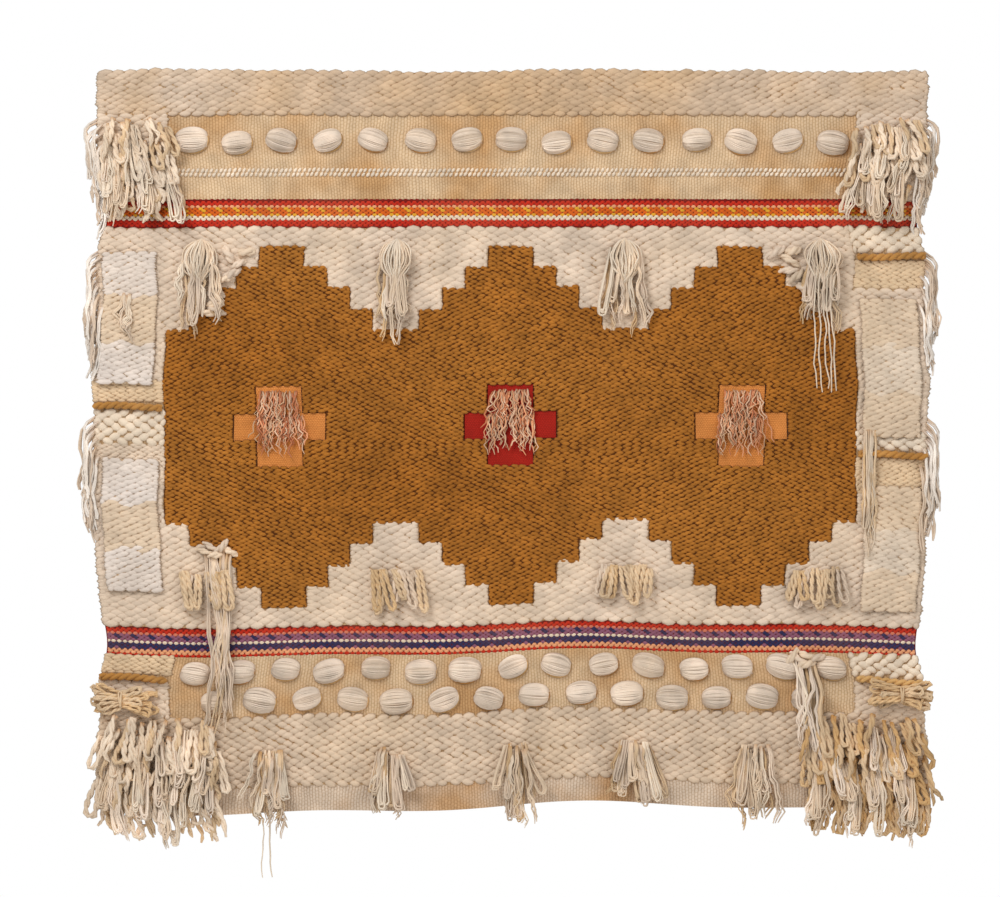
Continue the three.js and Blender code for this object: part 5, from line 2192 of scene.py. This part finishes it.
@dataclass(frozen=True)
class KnotPatch:
    """Short lumps of thick soft yarn pulled forward, in millimetres."""

    name: str
    places: tuple[Span, ...]
    seed: int
    radius: float = 6.0
    seat: float = 6.5
    half_lengths: Span = (9.0, 14.0)
    heights: Span = (7.0, 12.0)
    drift: float = 3.0
    twists: Span = (26.0, 40.0)
    dyes: tuple[Colour, ...] = (CREAM, YARN_WHITE, CREAM)

    def lump(self, middle: Span, rng: Draws) -> Yarn:
        """Arch one short length of yarn out of the cloth and back.

        Args:
            middle: Its middle across and its height.
            rng: The seeded source of numbers.

        Returns:
            The yarn.
        """
        t = np.linspace(0, 1, 11)
        arch = np.sin(math.pi * t)
        turn = scatter(rng, 1.0)
        along = rng.uniform(*self.half_lengths) * (2 * t - 1) * (1.2 - 0.35 * arch)
        out = self.seat + rng.uniform(*self.heights) * arch**0.7
        thick = self.radius * rng.uniform(0.8, 1.15) * (0.75 + 0.3 * arch)
        x, z = turned(middle, along, np.zeros(len(t)), turn)
        return Yarn.laid(x, out, z, thick, dip(self.dyes, rng))

    def build(self, shop: Workshop) -> None:
        """Make the lumps and tie them to the frame."""
        rng = np.random.default_rng(self.seed)
        lines = []
        for place in self.places:
            x, z = (value + scatter(rng, self.drift) for value in place)
            lines.extend(twisted(self.lump((x, z), rng), rng.uniform(*self.twists), rng))
        settle(shop.spun(self.name, lines, "twisted_cotton", 6), "loop_roving")


@dataclass(frozen=True)
class Lamp:
    """A soft square lamp: its place and side in metres, and its power in watts."""

    name: str
    place: Place
    power: float
    size: float

    def hang(self, height: float) -> None:
        """Hang the lamp, pointed at the middle of the cloth at a height."""
        data = bpy.data.lights.new(self.name, "AREA")
        data.energy = self.power
        data.size = self.size
        lamp = bpy.data.objects.new(self.name, data)
        lamp.location = self.place
        x, y, z = np.array([0, 0, height]) - np.array(self.place)
        lamp.rotation_euler = (math.pi / 2 + math.atan2(z, math.hypot(x, y)), 0, math.atan2(-x, y))
        bpy.context.scene.collection.objects.link(lamp)


@dataclass(frozen=True)
class Studio:
    """Pale floor, soft light and a camera square to the cloth, in metres."""

    photo_width: float = 1.45
    across: float = -0.018
    height: float = -0.546
    distance: float = 6.0
    sensor: float = 36.0
    floor_height: float = -1.6
    floor_half: float = 2.4
    floor_colour: tuple[float, float, float, float] = (0.86, 0.86, 0.85, 1.0)
    lamps: tuple[Lamp, ...] = (
        Lamp("key_lamp", (-1.4, -2.6, 1.7), 74, 1.5),
        Lamp("fill_lamp", (2.2, -2.6, 0.2), 18, 2.2),
        Lamp("back_lamp", (0.6, 3.2, 0.8), 40, 2.4),
    )
    bounce: tuple[float, float, float, float] = (1.0, 0.93, 0.84, 1.0)
    bounce_strength: float = 0.46

    def camera(self) -> None:
        """Set the camera square to the cloth, at the photograph's framing."""
        data = bpy.data.cameras.new("camera")
        data.sensor_width = self.sensor
        data.lens = self.sensor * self.distance / self.photo_width
        data.clip_end = 50
        camera = bpy.data.objects.new("camera", data)
        camera.location = (self.across, -self.distance, self.height)
        camera.rotation_euler = (math.pi / 2, 0, 0)
        bpy.context.scene.collection.objects.link(camera)
        bpy.context.scene.camera = camera

    def floor(self) -> None:
        """Lay the pale floor well below the cloth."""
        half, z = self.floor_half, self.floor_height
        corners = [(-half, -half, z), (half, -half, z), (half, half, z), (-half, half, z)]
        mesh = new_mesh("floor", corners, faces=[(0, 1, 2, 3)])
        material = bpy.data.materials.new("pale_floor")
        material.use_nodes = True
        shader = material.node_tree.nodes["Principled BSDF"]
        shader.inputs["Base Color"].default_value = self.floor_colour
        shader.inputs["Roughness"].default_value = 0.9
        mesh.materials.append(material)
        link(mesh, "floor")

    def surroundings(self) -> None:
        """Set the white background and the warm light that it gives."""
        world = bpy.data.worlds.new("studio")
        world.use_nodes = True
        bench = NodeBench(world.node_tree)
        seen = bench.add("ShaderNodeLightPath").outputs["Is Camera Ray"]
        bench.put(world.node_tree.nodes["Background"], {
            "Strength": bench.spread(seen, 0.0, 1.0, self.bounce_strength, 1.0),
            "Color": bench.mix(seen, self.bounce, (1, 1, 1, 1)),
        })
        bpy.context.scene.world = world

    def build(self) -> None:
        """Set up the camera, floor, lamps and surroundings."""
        self.camera()
        self.floor()
        for lamp in self.lamps:
            lamp.hang(self.height)
        self.surroundings()
        bpy.context.scene.view_settings.view_transform = "Standard"


def grounds() -> list[SubAssembly]:
    """List the ground cloth and the panels that are set in it."""
    bands = [
        StripeBand("upper", Zone.BAND_UPPER, LOOM.band_upper, UPPER_STRIPES, {3: YELLOW, 5: BAND_ORANGE}, 31),
        StripeBand("lower", Zone.BAND_LOWER, LOOM.band_lower, LOWER_STRIPES, {3: NAVY, 7: VIOLET}, 32),
    ]
    windows = [
        WindowPanel("left", -LOOM.lozenge_width, ORANGE, "orange_linen", 40),
        WindowPanel("middle", 0.0, CRIMSON, "red_wool", 41),
        WindowPanel("right", LOOM.lozenge_width, ORANGE, "orange_linen", 42),
    ]
    return [GroundCloth(), BrownField(), *bands, *windows]


def sewn_on() -> list[SubAssembly]:
    """List the bobbles, the tabs and what hangs on them."""
    white, peach = (TAB_WHITE, TAB_PEACH), (TAB_PEACH, TAB_PALE)
    return [
        BobbleRow("bobble_row_top", z=LOOM.bobble_line, first=-14, seed=50),
        BobbleRow("bobble_row_middle", z=-864, first=-14, seed=51),
        BobbleRow("bobble_row_bottom", z=-907, first=-13, seed=52),
        Tab("tab_left_upper", left=-590, right=-514, top=-262, bottom=-452, dyes=white, seed=60),
        Tab("tab_left_lower", left=-586, right=-508, top=-560, bottom=-748, dyes=white, seed=61),
        Tab("tab_right_upper", left=508, right=588, top=-330, bottom=-528, dyes=peach, seed=62),
        Tab("tab_right_lower", left=512, right=590, top=-602, bottom=-778, dyes=peach, seed=63),
        Tassel("tab_tassel", x=-556, z=-322, width=14, length=66, seed=65, clumps=6, seat=12.5, deep=4,
               splay=5, folded_share=0.0, in_frame=False, back_shade_dyes=(YARN_WHITE,)),
        Tassel("tab_hank", x=518, z=-520, width=18, length=178, seed=66, clumps=9, clump_yarns=4,
               clump_spread=3.4, seat=13.0, deep=5, splay=5, curl=2.0, folded_share=0.1, gather=0.0,
               in_frame=False),
    ]


def corners() -> list[SubAssembly]:
    """List the clusters of locks and the bundles at the sides."""
    shoulder = {"tiers": 5, "locks": 9, "skeins": 8, "room": 20}
    straw_locks = (LOCK_STRAW, OCHRE_CREAM, STRAW)
    return [
        LockCluster("cluster_left", x=-542, z=-84, width=92, length=146, seed=70, **shoulder),
        LockCluster("cluster_right", x=542, z=-84, width=92, length=140, seed=71, **shoulder),
        LockCluster("tassel_bottom_1", x=-508, z=-944, width=166, length=172, seed=72),
        LockCluster("tassel_bottom_7", x=508, z=-944, width=166, length=176, seed=73, lock_dyes=straw_locks),
        SideBundle(Side.LEFT, x=568, z=-906, seed=74),
        SideBundle(Side.RIGHT, x=566, z=-898, seed=75, dyes=(STRAW, OCHRE_CREAM, STRAW)),
    ]


def tassels() -> list[SubAssembly]:
    """List the tassels at the waist and at the hem, and the long hanks beside them."""
    parts = []
    for k, (x, length) in enumerate(((-452, 122), (-166, 128), (166, 120), (452, 126))):
        threads = {"threads": (-9.0, -4.5, 0.5, 4.0, 8.5), "thread_length": 208.0} if k == 3 else {}
        parts.append(Tassel(f"tassel_waist_{k + 1}", x, z=-258, width=48, length=length, seed=80 + k,
                            clumps=15, folded_share=0.2, deep=13, hank=34, **threads))
    for k, (x, length) in enumerate(((-350, 108), (-176, 92), (0, 112), (176, 96), (350, 104))):
        threads = {"threads": (-8.6, 0.4), "thread_length": 178.0} if k == 0 else {}
        parts.append(Tassel(f"tassel_bottom_{k + 2}", x, z=-982, width=46, length=length, seed=90 + k,
                            seat=7.0, deep=10, clump_spread=3.6, folded_share=0.6, forward=11, start=6.0,
                            gather=-0.35, ragged=8.0, **threads))
    hank = {"clump_yarns": 4, "clump_spread": 4.0, "radius": 1.5, "seat": 5.6, "in_frame": False}
    parts.append(Tassel("long_hank", x=-424, z=-690, width=50, length=292, seed=97, clumps=10,
                        folded_share=0.1, deep=6, curl=5.0, forward=12, splay=11, gather=0.3,
                        back_shade_dyes=(CREAM, OCHRE_CREAM), **hank))
    parts.append(Tassel("corner_hank", x=428, z=-852, width=44, length=176, seed=98, clumps=11,
                        folded_share=0.3, deep=8, curl=4.6, forward=15, splay=14, gather=0.1,
                        dyes=(IVORY, BOBBLE_WHITE), back_shade_dyes=(STRAW, OCHRE_CREAM), **hank))
    return parts


def edges() -> list[SubAssembly]:
    """List the side fringe, the rows of loops and the knots where hanks are tied on."""
    tiers = (("upper", -62, -152, 92), ("middle", -253.5, -343.5, 100), ("lower", -493.5, -573.5, 114))
    fringe = [
        SideFringe(side, tier, top, bottom, length, 100 + 10 * side.value + k)
        for side in Side for k, (tier, top, bottom, length) in enumerate(tiers)
    ]
    loops = [LoopRow(f"loops_{k + 1}", x, z=-722, seed=120 + k) for k, x in enumerate((-446, -166, 166, 446))]
    left = ((-384, -262), (-396, -280), (-408, -264), (-416, -298), (-404, -292), (-424, -318), (-430, -334),
            (-444, -350), (-426, -346))
    right = ((386, -264), (400, -276), (412, -262), (414, -300), (402, -290), (426, -316), (432, -338))
    hank = ((-444, -691), (-434, -686), (-424, -690), (-414, -685), (-405, -690), (-428, -696))
    corner = ((411, -848), (423, -851), (435, -847), (446, -852), (430, -856))
    return [
        *fringe,
        *loops,
        KnotPatch("knots_left", left, seed=131),
        KnotPatch("knots_right", right, seed=132),
        KnotPatch("knots_hank", hank, seed=133, radius=4.6),
        KnotPatch("knots_corner", corner, seed=135, radius=5.6, seat=8.5),
    ]


def main() -> None:
    """Dress the whole tapestry."""
    logging.basicConfig(level=logging.INFO, format="%(name)s: %(message)s")
    Studio().build()
    shop = Workshop.open()
    for part in (*grounds(), *sewn_on(), *corners(), *tassels(), *edges()):
        part.build(shop)


if __name__ == "__main__":
    main()
